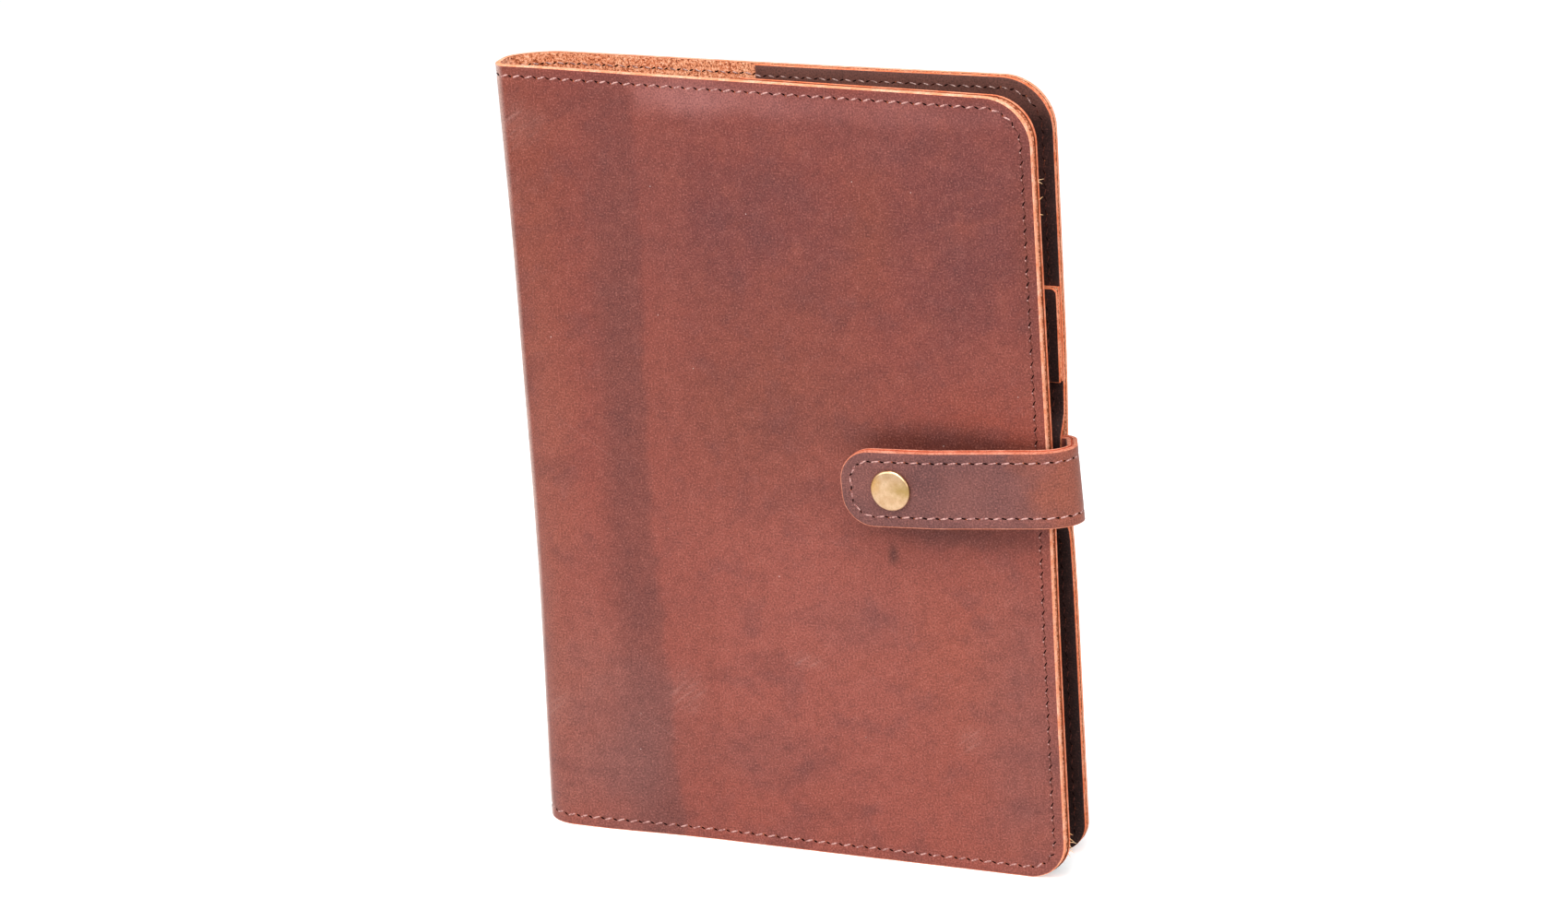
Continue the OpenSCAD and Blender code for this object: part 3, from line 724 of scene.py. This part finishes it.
stitch_bead, hole_bead, burr_bead = bead(8, 6), bead(7, 4), bead(5, 3)


def lay_bead(bm, shape, matrix, finish):
    verts = [bm.verts.new(matrix @ point) for point in shape[0]]
    for corners in shape[1]:
        face = bm.faces.new([verts[i] for i in corners])
        face.smooth = True
        face.material_index = finish


def sew(bm, place, s, z, way, depth, outward, slanting=1.0, sunk=False, fray=1):
    """One stitch with the needle hole at its end, on the outward side of the leather at a depth.

    A sunk stitch is thinner and drawn in the darker thread painted for its shade, with a pale bead at its end as
    a painted glint; each needle hole is a dark bead painted for the shade in it; fray says on which side of the
    hole fibre is pulled up.
    """
    def along_seam(run):
        return place(s + run * math.cos(way), depth, z + run * math.sin(way))

    def lain(angle, size, centre):
        long_way = math.cos(slanting * angle) * way_out + math.sin(slanting * angle) * side
        turn = Matrix((long_way, out.cross(long_way), out)).transposed()
        return Matrix.Translation(centre) @ (turn @ Matrix.Diagonal(share * size / 2)).to_4x4()

    at, hole_at = along_seam(0), along_seam(stitch_pitch / 2)
    along_s = (place(s + 0.2 * mm, depth, z) - at).normalized()
    up = Vector((0, 0, 1))
    out = outward * along_s.cross(up).normalized()
    way_out = math.cos(way) * along_s + math.sin(way) * up
    side = outward * out.cross(way_out)
    share = 1.0 if outward > 0 else inside_share
    thin = Vector((1, sunk_share, sunk_share)) if sunk else Vector((1, 1, 1))
    finish = 4 if sunk else 0 if outward > 0 else 3
    lay_bead(bm, stitch_bead, lain(stitch_slant, stitch_size * thin, at), finish)
    # the pale bead at the upper end of a sunk stitch is a painted glint
    if sunk and outward > 0:
        glint_at = at + glint_on * stitch_size.x * (way_out + glint_aside * side)
        lay_bead(bm, burr_bead, lain(stitch_slant, glint_size, glint_at), 0)
    raised = sunk_hole_lift * out if sunk else Vector()
    lay_bead(bm, hole_bead, lain(hole_slant, hole_size * thin, hole_at + raised), 1)
    if random.random() < (burr_chance if outward > 0 else inside_burr_chance):
        frayed_at = hole_at + fray * (burr_on * hole_size.x * way_out - burr_aside * slanting * side)
        lay_bead(bm, burr_bead, lain(burr_slant, burr_size, frayed_at), 2)


def sewn(bm, name):
    piece = as_object(bm, name, (thread, hole, burr, inner_thread, painted_shade_thread))
    return piece


# the seam starts in the middle of the foot and goes up the front, along the head and down the back
seam_w, seam_h = back_reach + front_reach - 2 * seam_margin, cover_h - 2 * seam_margin
seam_r = [r - seam_margin for r in corner_r.values()]
seam_legs = [(seam_w / 2 - seam_r[1], 0), turning(seam_r[1], 90), (seam_h - seam_r[1] - seam_r[2], 0),
             turning(seam_r[2], 90), (seam_w - seam_r[2] - seam_r[3], 0), turning(seam_r[3], 90),
             (seam_h - seam_r[3] - seam_r[0], 0), turning(seam_r[0], 90), (seam_w / 2 - seam_r[0], 0)]
front_seam, back_seam = bmesh.new(), bmesh.new()
for at, way in stitches(((front_reach - back_reach) / 2, seam_margin), 0, seam_legs):
    bm = front_seam if at.x > 0 else back_seam
    sunk = abs(math.sin(way)) > upright
    sew(bm, folded, at.x, at.y, way, seam_press, 1, 1.0, sunk, 1 if sunk else -1)
    inside = leather_t
    if fore_gap(at.x) < flap_w:
        inside += flap_gap + flap_t + lift(at.x, at.y)
    if at.x < 0 and fore_gap(at.x) < loop_out - loop_back_x and loop_lo.z < at.y < loop_hi.z:
        inside += 2 * loop_t + loop_slack
    sew(bm, folded, at.x, at.y, way, inside, -1, inside_share, sunk)
front_stitches = bend_front(sewn(front_seam, "front_stitches"))
back_stitches = bend_back(sewn(back_seam, "back_and_spine_stitches"))
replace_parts(front_stitches, "front_thread")
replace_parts(back_stitches, "back_thread", "spine_thread")


# Strap
# Two strips of leather are sewn face to back: the grain strip outside and a lining strip inside. The strap
# comes out of the back seam, turns round the fore edge and ends in a round tip with the press stud.
strap_w = 23 * mm
strap_layer_t = 1.6 * mm
strap_soft = 0.35 * mm
strap_tip_l, strap_tip_r = 15.8 * mm, 9.5 * mm
strap_flat_l = 11 * mm
strap_fall_r, strap_fall_deg = 30 * mm, 7
strap_reach = 7.5 * mm
strap_front_r, strap_back_r = 10 * mm, 6 * mm
strap_lean = 22
strap_rise = math.radians(3)
snap_x = front_fore - 45.2 * mm
snap_z = 119.3 * mm
snap_gap = 4.8 * mm
snap_at = flared(snap_x, front_out)
strap_out = front_fore + strap_reach
fall = strap_fall_deg - math.degrees(flare)
strap_start = flared(snap_x - strap_tip_l, front_out - snap_gap - 2 * strap_layer_t)
strap_legs = [(strap_tip_l + strap_flat_l, 0), turning(strap_fall_r, strap_fall_deg)]


def strap_now():
    """The strap's line so far, and where it ends."""
    line = walk(strap_start, -math.degrees(flare), strap_legs)
    return line, along(line, run_of(strap_legs))[0]


front_bend_x = strap_out - strap_front_r * (1 - math.sin(math.radians(fall)))
strap_legs.append(((front_bend_x - strap_now()[1].x) / math.cos(math.radians(fall)), 0))
front_bend_s = run_of(strap_legs)
strap_legs.append(turning(strap_front_r, 90 + strap_lean - fall))
across_s = run_of(strap_legs)
lean = math.radians(strap_lean)
tail_out = back_out - leather_t - swell(-back_reach, strap_z) - tail_clear
strap_legs.append(((tail_out - strap_back_r * (1 - math.sin(lean)) - strap_now()[1].y) / math.cos(lean), 0))
back_bend_s = run_of(strap_legs)
strap_legs.append(turning(strap_back_r, 90 - strap_lean))
tail_s = run_of(strap_legs)
strap_legs.append((strap_now()[1].x - tail_lo.x, 0))
strap_l = run_of(strap_legs)
strap_line = strap_now()[0]
strap_pivot = Matrix.Translation((snap_at.x, snap_at.y, snap_z))
strap_turn = (strap_pivot @ Matrix.Rotation(-flare, 4, "Z") @ Matrix.Rotation(-strap_rise, 4, "Y")
              @ Matrix.Rotation(flare, 4, "Z") @ strap_pivot.inverted())


def on_strap(s, depth, w):
    at, way = along(strap_line, s)
    sunk = Vector((0, 0, tail_drop * smooth(s, front_bend_s, tail_s)))
    flat_at = Vector((at.x - math.sin(way) * depth, at.y + math.cos(way) * depth, snap_z + w))
    return strap_turn @ flat_at - sunk


def on_lining(s, depth, w):
    return on_strap(s, strap_layer_t + depth, w)


def strap_patina(place, s, z):
    """Cool and dark on the flat, stretched to a lighter orange round the bend at the fore edge."""
    patch = cloud(place, 60, 5.0, 0.6)
    bend = rise(s + 0.035 * (patch - 0.5), front_bend_s - 9 * mm, front_bend_s + 9 * mm)
    return painted(shade("82504a"), (rise(patch, 0.35, 0.68), "6a4341"), (bend * 0.85, "9a523d"))


def lining_patina(place, s, z):
    patch = cloud(place, 50, 5.0, 0.6)
    return painted(shade("7c443d"), (rise(patch, 0.35, 0.7), "95564d"))


strap_edge = raw_edge("strap_edge", "98442e", "cc785c", "e89c82")
parting = raw_edge("strap_parting", "6e1e0c", "b03c1c", "c85430")
strap_finishes = (grain_finish("waxed_strap_leather", strap_patina), strap_edge, suede_finish, parting)
lining_finishes = (suede_finish, strap_edge, grain_finish("strap_lining_leather", lining_patina), parting)
middle_s = (across_s + back_bend_s) / 2
strap_lines = (steps(0, front_bend_s, 2.5 * mm) + [front_bend_s] + steps(front_bend_s, tail_s, 0.6 * mm)
               + [tail_s] + steps(tail_s, strap_l, 3 * mm), steps(-strap_w / 2, strap_w / 2, 2.9 * mm))


def bend_fore(piece):
    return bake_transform(piece, "strap_bend", "strap", on_strap(across_s, 0, 0), on_strap(front_bend_s, 0, 0))


def bend_root(piece):
    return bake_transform(piece, "back_cover", "strap_bend", on_strap(tail_s, 0, 0), on_strap(back_bend_s, 0, 0))


def strap_strip(layer, place, finishes, glued, press, nodes):
    """One strip of the strap in two lengths that meet half way across the fore edge."""
    strip = cut_flat((0, -strap_w / 2), (strap_l, strap_w / 2), {0: strap_tip_r, 3: strap_tip_r},
                     strap_layer_t, strap_soft, strap_lines, press)
    bmesh.ops.translate(strip, vec=(-middle_s, 0, 0), verts=strip.verts[:])
    for name, side, bend, stands_for in (
            ("strap_" + layer, -1, bend_fore, nodes[:2]), ("strap_root_" + layer, 1, bend_root, nodes[2:])):
        length = half_of(strip, side)
        bmesh.ops.translate(length, vec=(middle_s, 0, 0), verts=length.verts[:])
        piece = bend(shaped(length, name, place, finishes, glued))
        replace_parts(piece, *stands_for)
    strip.free()


strap_strip("grain_strip", on_strap, strap_finishes, 1, (seam_margin, seam_press),
            ("strap_outer", "strap_bend_outer", "strap_tail_outer"))
strap_strip("lining_strip", on_lining, lining_finishes, -1, None,
            ("strap_lining", "strap_bend_lining", "strap_tail_lining"))

# the strap's own seam goes down both sides and round the tip, as far as the back seam
strap_seam_r = strap_tip_r - seam_margin
strap_half_w = strap_w / 2 - seam_margin
strap_side = tail_s - seam_margin - strap_seam_r
strap_corner = turning(strap_seam_r, 90)
strap_seam_legs = [(strap_side, 0), strap_corner, (2 * (strap_half_w - strap_seam_r), 0), strap_corner,
                   (strap_side, 0)]
tip_seam, root_seam = bmesh.new(), bmesh.new()
for at, way in stitches((tail_s, strap_half_w), 180, strap_seam_legs):
    bm = tip_seam if at.x < middle_s else root_seam
    sew(bm, on_strap, at.x, at.y, way, seam_press, 1, strap_share)
    sew(bm, on_strap, at.x, at.y, way, 2 * strap_layer_t, -1, strap_share)
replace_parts(bend_fore(sewn(tip_seam, "strap_stitches")), "strap_thread")
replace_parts(bend_root(sewn(root_seam, "strap_root_stitches")), "strap_bend_thread")


# Press stud
# Four turned and pressed pieces of antique brass: a domed cap with its post and a socket clenched on the
# strap, a stud and an eyelet clenched on the front panel. A ring of spring wire in the socket grips the stud.
cap_r, cap_h, cap_shoulder_r, cap_rim_h = 6.1 * mm, 1.7 * mm, 0.85 * mm, 0.45 * mm
cap_lip, post_r = 0.4 * mm, 1.6 * mm
strap_face_h = snap_gap + 2 * strap_layer_t
socket_r, socket_bore_r, socket_h, socket_seat_t = 5.5 * mm, 3.1 * mm, 3.4 * mm, 0.8 * mm
stud_foot_r, stud_neck_r, stud_head_r = 5 * mm, 2.4 * mm, 2.9 * mm
stud_foot_t, stud_head_t, stud_top_h = 0.8 * mm, 0.9 * mm, 3.8 * mm
snap_frame = (Matrix.Translation((snap_at.x, snap_at.y, snap_z)) @ Matrix.Rotation(-flare, 4, "Z")
              @ Matrix.Rotation(math.pi / 2, 4, "X"))

# the brass has an antique wash with fine grit; a greenish-brown patch towards the fore edge and a gold-coloured far
# rim are painted reflections of the surroundings
brass = new_finish("antique_brass", Metallic=1.0)
place = own_place(brass)
wash = cloud(place, 420, 4.0, 0.6)
grit = cloud(place, 1800, 3.0, 0.6)
across, upward = across_and_up(place)
across, upward = across - snap_at.x, upward - snap_z
olive_reflection = blot(across, upward, wash, (5, 0.6), (4.5, 2.2))
gold_rim_reflection = blot(across, upward, wash, (-6.2, 2.2), (2.4, 3.4))
colour = painted(shade("cda67e"), (rise(wash, 0.3, 0.7), "dfbd98"), (olive_reflection * 0.75, "a88a4c"),
                 (gold_rim_reflection * 0.7, "cf9c54"), ((1 - rise(grit, 0.3, 0.5)) * 0.3, "a8885a"))
lay(brass, colour, 0.3 + 0.15 * (wash - 0.5) + 0.1 * (grit - 0.5), grit, 0.12, 0.05 * mm)


def turned(profile, name, finish, body, slot, *nodes):
    """A piece turned about the press stud's axis from a profile of (radius, height) points."""
    bm = bmesh.new()
    verts = [bm.verts.new((r, 0, h)) for r, h in profile]
    edges = [bm.edges.new(pair) for pair in zip(verts, verts[1:] + verts[:1])]
    bmesh.ops.spin(bm, geom=verts + edges, cent=(0, 0, 0), axis=(0, 0, 1), dvec=(0, 0, 0), angle=2 * math.pi,
                   steps=64, use_merge=True, use_duplicate=False)
    bmesh.ops.remove_doubles(bm, verts=bm.verts[:], dist=0.001 * mm)
    bmesh.ops.dissolve_degenerate(bm, edges=bm.edges[:], dist=0.001 * mm)
    bmesh.ops.recalc_face_normals(bm, faces=bm.faces[:])
    bmesh.ops.transform(bm, matrix=snap_frame, verts=bm.verts[:])
    rounded_off(bm, 40)
    piece = as_object(bm, name, [finish])
    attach(piece, body)
    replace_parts(piece, *nodes)
    return piece


def arc(mid, r, from_deg, to_deg, count):
    """Points of a round stretch of a profile."""
    angles = [math.radians(from_deg + (to_deg - from_deg) * i / count) for i in range(count + 1)]
    return [(mid[0] + r * math.cos(a), mid[1] + r * math.sin(a)) for a in angles]


shoulder_x, crown_h = cap_r - cap_shoulder_r, cap_h - cap_rim_h
dome_r = (shoulder_x ** 2 + crown_h ** 2 - cap_shoulder_r ** 2) / (2 * (crown_h - cap_shoulder_r))
dome_deg = math.degrees(math.asin(shoulder_x / (dome_r - cap_shoulder_r)))
dome_mid = (0, strap_face_h + cap_h - dome_r)
shoulder_mid = (shoulder_x, strap_face_h + cap_rim_h)
roof_h = snap_gap - socket_seat_t
turned([(0, roof_h)] + arc(dome_mid, dome_r, 90, 90 - dome_deg, 10)[:-1]
       + arc(shoulder_mid, cap_shoulder_r, 90 - dome_deg, -25, 10)
       + [(cap_r - cap_lip, strap_face_h), (post_r, strap_face_h), (post_r, roof_h)],
       "snap_cap_dome", brass, "strap", "antique_brass", "snap_cap")
mouth_h = snap_gap - socket_h
lip = 0.5 * mm
turned(arc((socket_r - lip, snap_gap - lip), lip, 90, 0, 5)
       + arc((socket_r - lip, mouth_h + lip), lip, 0, -90, 5)
       + arc((socket_bore_r + lip, mouth_h + lip), lip, -90, -180, 5)
       + [(socket_bore_r, roof_h), (post_r, roof_h), (post_r, snap_gap)],
       "snap_socket_cup", brass, "strap", "antique_brass", "snap_socket")
head_h = stud_top_h - stud_head_t
bulb = stud_head_t / 2
turned([(0, 0), (stud_foot_r, 0)] + arc((stud_foot_r - lip, stud_foot_t - lip), lip, 0, 90, 4)
       + [(stud_neck_r + lip, stud_foot_t)] + arc((stud_neck_r + lip, stud_foot_t + lip), lip, 270, 180, 4)
       + [(stud_neck_r, head_h)] + arc((stud_head_r - bulb, head_h + bulb), bulb, -60, 90, 8)
       + [(post_r, stud_top_h), (post_r - lip, stud_top_h - lip), (0, stud_top_h - lip)],
       "stud_post", brass, "front_cover", "antique_brass", "stud")

steel = new_finish("spring_wire_steel", Metallic=1.0)
drawn = cloud(own_place(steel), 900, 3.0)
colour = painted(shade("8e8f90"), (rise(drawn, 0.35, 0.7), "c4c5c4"))
lay(steel, colour, 0.3 + 0.2 * (drawn - 0.5), drawn, 0.15, 0.05 * mm)
# the eyelet and the spring keep their CAD shapes
for node, finish in (("stud_eyelet", brass), ("snap_spring", steel)):
    finishes = frame["nodes"][node].data.materials
    finishes.clear()
    finishes.append(finish)


# Notebook
# A bound notebook with soft black card covers, pushed into the two pockets, a cloth spine, and sheets
# gathered in sections. Its front sheets turn as one half and its back sheets stay with the back cover.
card_clear, card_short = 0.1 * mm, 1.4 * mm
card_corner_r = 4 * mm
page_rounding, page_rounding_w = 5 * mm, 18 * mm
section_count, section_fill = 9, 0.94
fore_slack, head_slack = 0.35 * mm, 0.3 * mm

card = new_finish("notebook_card", Specular_IOR_Level=0.3)
place = own_place(card)
pulp = cloud(place, 900, 5.0, 0.7)
colour = painted(shade("2b2522"), (rise(cloud(place, 40, 3.0), 0.3, 0.7), "3a322d"),
                 (rise(pulp, 0.58, 0.75) * 0.35, "5a4e46"))
lay(card, colour, 0.72 + 0.2 * (pulp - 0.5), pulp, 0.35, 0.1 * mm)

cloth = new_finish("spine_cloth", Specular_IOR_Level=0.2)
place = own_place(cloth)
threads = {"Vector": place, "Scale": 260.0}
warp, weft = [place.node("TexWave", threads, "Fac", bands_direction=way) for way in "ZY"]
weave = warp * weft
lay(cloth, painted(shade("241d1a"), (weave, "4a3d36")), 0.85 + 0.1 * (warp - 0.5), weave, 0.5, 0.15 * mm)

# the paper is cream, and the cut edges of the sheets show as fine lines
paper = new_finish("cream_paper", Specular_IOR_Level=0.25)
place = own_place(paper)
pulp = cloud(place, 500, 4.0, 0.6)
sheets = cloud(stretched(place, 0, (1.5, 9000, 1.5)), 1.0, 2.0)
colour = painted(shade("ece3cd"), (rise(pulp, 0.3, 0.7), "f6efde"),
                 ((1 - rise(sheets, 0.3, 0.5)) * 0.3, "b9a888"))
lay(paper, colour, 0.85 + 0.1 * (pulp - 0.5), 0.6 * sheets + 0.4 * pulp, 0.25, 0.08 * mm)

book_fore_gap = back_fore - book_hi.x
card_reach = book_hi.x - book_lo.x - card_short
for name, sign, reach, bend in (("notebook_back_card", -1, back_reach, bend_back),
                                ("notebook_front_card", 1, front_reach, bend_front)):
    gap = book_fore_gap if sign < 0 else front_fore - book_hi.x
    ends = sorted((sign * (reach - gap), sign * (reach - gap - card_reach)))
    flat = cut_flat((ends[0], book_lo.z), (ends[1], book_hi.z),
                    {i: card_corner_r for i in ((0, 3) if sign < 0 else (1, 2))}, card_t, 0.15 * mm,
                    (steps(ends[0], ends[1], bend_pitch), steps(book_lo.z, book_hi.z, flat_pitch)))
    board = shaped(flat, name, lambda s, d, z: folded(s, leather_t + card_clear + d, z), (card, card, card))
    bend(board)
    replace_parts(board, name.replace("_card", "_cover"))


def leaves(name, node, body, out_sign):
    """One half of the sheets: sections folded at the spine, each a little out of line with the next."""
    low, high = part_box(node)
    thick = (high.y - low.y) / section_count
    bm = bmesh.new()
    for i in range(section_count):
        slack = random.uniform(0, fore_slack)
        height = high.z - low.z - random.uniform(0, head_slack)
        made = bmesh.ops.create_cube(bm, size=1)["verts"]
        size = Vector((high.x - low.x - slack, section_fill * thick, height))
        centre = Vector(((low.x + high.x - slack) / 2, low.y + (i + 0.5) * thick, (low.z + high.z) / 2))
        bmesh.ops.scale(bm, vec=size, verts=made)
        bmesh.ops.translate(bm, vec=centre, verts=made)
        corners = [e for e in bm.edges if e.verts[0] in made and e.verts[1] in made
                   and abs(e.verts[0].co.y - e.verts[1].co.y) > 0.5 * thick and e.verts[0].co.x > centre.x]
        bmesh.ops.bevel(bm, geom=corners, offset=card_corner_r, offset_type="OFFSET", affect="EDGES",
                        segments=6, profile=0.5, material=-1)
    for x in steps(low.x, low.x + page_rounding_w, 1.2 * mm):
        bmesh.ops.bisect_plane(bm, geom=everything(bm), plane_co=(x, 0, 0), plane_no=(1, 0, 0))
    gutter = low.y if out_sign > 0 else high.y
    for vert in bm.verts:
        share = abs(vert.co.y - gutter) / (high.y - low.y)
        rounding = page_rounding * (1 - smooth(vert.co.x, low.x, low.x + page_rounding_w))
        vert.co.y -= out_sign * rounding * share
    for face in bm.faces:
        face.smooth = False
    block = as_object(bm, name, [paper])
    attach(block, body)
    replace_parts(block, node)
    return block


leaves("notebook_back_leaves", "notebook_back_pages", "back_cover", 1)
leaves("notebook_front_leaves", "notebook_front_pages", "front_pages", -1)

cloth_lo, cloth_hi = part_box("notebook_spine")
cloth_t = 0.35 * mm
cloth_inset = cloth_hi.x - cloth_lo.x - cloth_t
cloth_front_curl, cloth_back_curl = 0.8 * mm, 3.4 * mm
cloth_short = 3.2 * mm
flat = cut_flat((cloth_lo.y, cloth_lo.z), (cloth_hi.y, cloth_hi.z), {}, cloth_t, 0.1 * mm,
                (steps(cloth_lo.y, cloth_hi.y, 0.8 * mm), steps(cloth_lo.z, cloth_hi.z, 20 * mm)))


def on_book_spine(s, depth, z):
    """The cloth curls in towards both cards, and further at the back one, where the leather rolls away."""
    share = (s - cloth_lo.y) / (cloth_hi.y - cloth_lo.y)
    curl = cloth_front_curl if share < 0.5 else cloth_back_curl
    inward = cloth_inset + depth + curl * (2 * share - 1) ** 2
    return Vector((cloth_lo.x + inward, s - cloth_short * share, z))


book_spine = shaped(flat, "notebook_cloth_spine", on_book_spine, (cloth, cloth, cloth))
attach(book_spine, "spine")
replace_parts(book_spine, "notebook_spine")


# Studio
# A plain white floor that meets a white surround, soft lamps high on both sides and overhead, and a small one
# low at the fore edge. The camera stands where the photograph was taken from.
floor_glow, surround_light = 0.45, 0.32
floor_finish = new_finish("white_floor", Base_Color=(0.9, 0.9, 0.9, 1), Roughness=0.9, Specular_IOR_Level=0.0,
                          Emission_Strength=1.0)
seen = Paint(floor_finish.node_tree).node("LightPath", {}, "Is Camera Ray") * floor_glow
glow = mixed(seen, (0, 0, 0, 1), (1, 1, 1, 1))
glow.tree.links.new(glow.socket, glow.tree.nodes["Principled BSDF"].inputs["Emission Color"])
bm = bmesh.new()
bmesh.ops.create_grid(bm, x_segments=1, y_segments=1, size=6.0)
floor = as_object(bm, "floor", [floor_finish])

world = bpy.data.worlds.new("surround")
world.use_nodes = True
bpy.context.scene.world = world
paint = Paint(world.node_tree)
rays = ("Is Camera Ray", "Is Glossy Ray", "Is Transmission Ray")
path = [paint.node("LightPath", {}, ray) for ray in rays]
seen = path[0].math("MINIMUM", path[0] + path[1] + path[2], 1.0)
surround = mixed(seen, (*[surround_light] * 3, 1), (1, 1, 1, 1))
world.node_tree.links.new(surround.socket, world.node_tree.nodes["Background"].inputs["Color"])

aim = Vector((-3.6, -8.0, 117.7)) * mm


def aimed(name, data, azimuth_deg, elevation_deg, distance, roll_deg=0.0):
    """Puts a lamp or the camera round the journal so that it looks at its middle."""
    azimuth, elevation, roll = [math.radians(deg) for deg in (azimuth_deg, elevation_deg, roll_deg)]
    back = Vector((math.sin(azimuth) * math.cos(elevation), -math.cos(azimuth) * math.cos(elevation),
                   math.sin(elevation)))
    placed = bpy.data.objects.new(name, data)
    bpy.context.scene.collection.objects.link(placed)
    placed.location = aim + distance * back
    placed.rotation_mode = "QUATERNION"
    placed.rotation_quaternion = (-back).to_track_quat("-Z", "Y") @ Quaternion((0, 0, 1), roll)
    return placed


for name, azimuth, elevation, distance, size, power in (
        ("key_lamp", 40, 42, 1.4, 0.8, 7.0), ("fill_lamp", -40, 34, 1.4, 0.9, 7.0),
        ("top_lamp", 10, 72, 1.2, 0.7, 12.0), ("edge_lamp", 86, 16, 1.2, 0.5, 2.2)):
    data = bpy.data.lights.new(name, "AREA")
    data.shape = "SQUARE"
    data.size = size
    data.energy = power
    aimed(name, data, azimuth, elevation, distance)

camera_data = bpy.data.cameras.new("camera")
camera_data.sensor_width = 36
camera_data.lens = 147.28
bpy.context.scene.camera = aimed("camera", camera_data, azimuth_deg=23.66, elevation_deg=19.02,
                                 distance=1.8712, roll_deg=-3.54)
bpy.context.scene.view_settings.view_transform = "Standard"
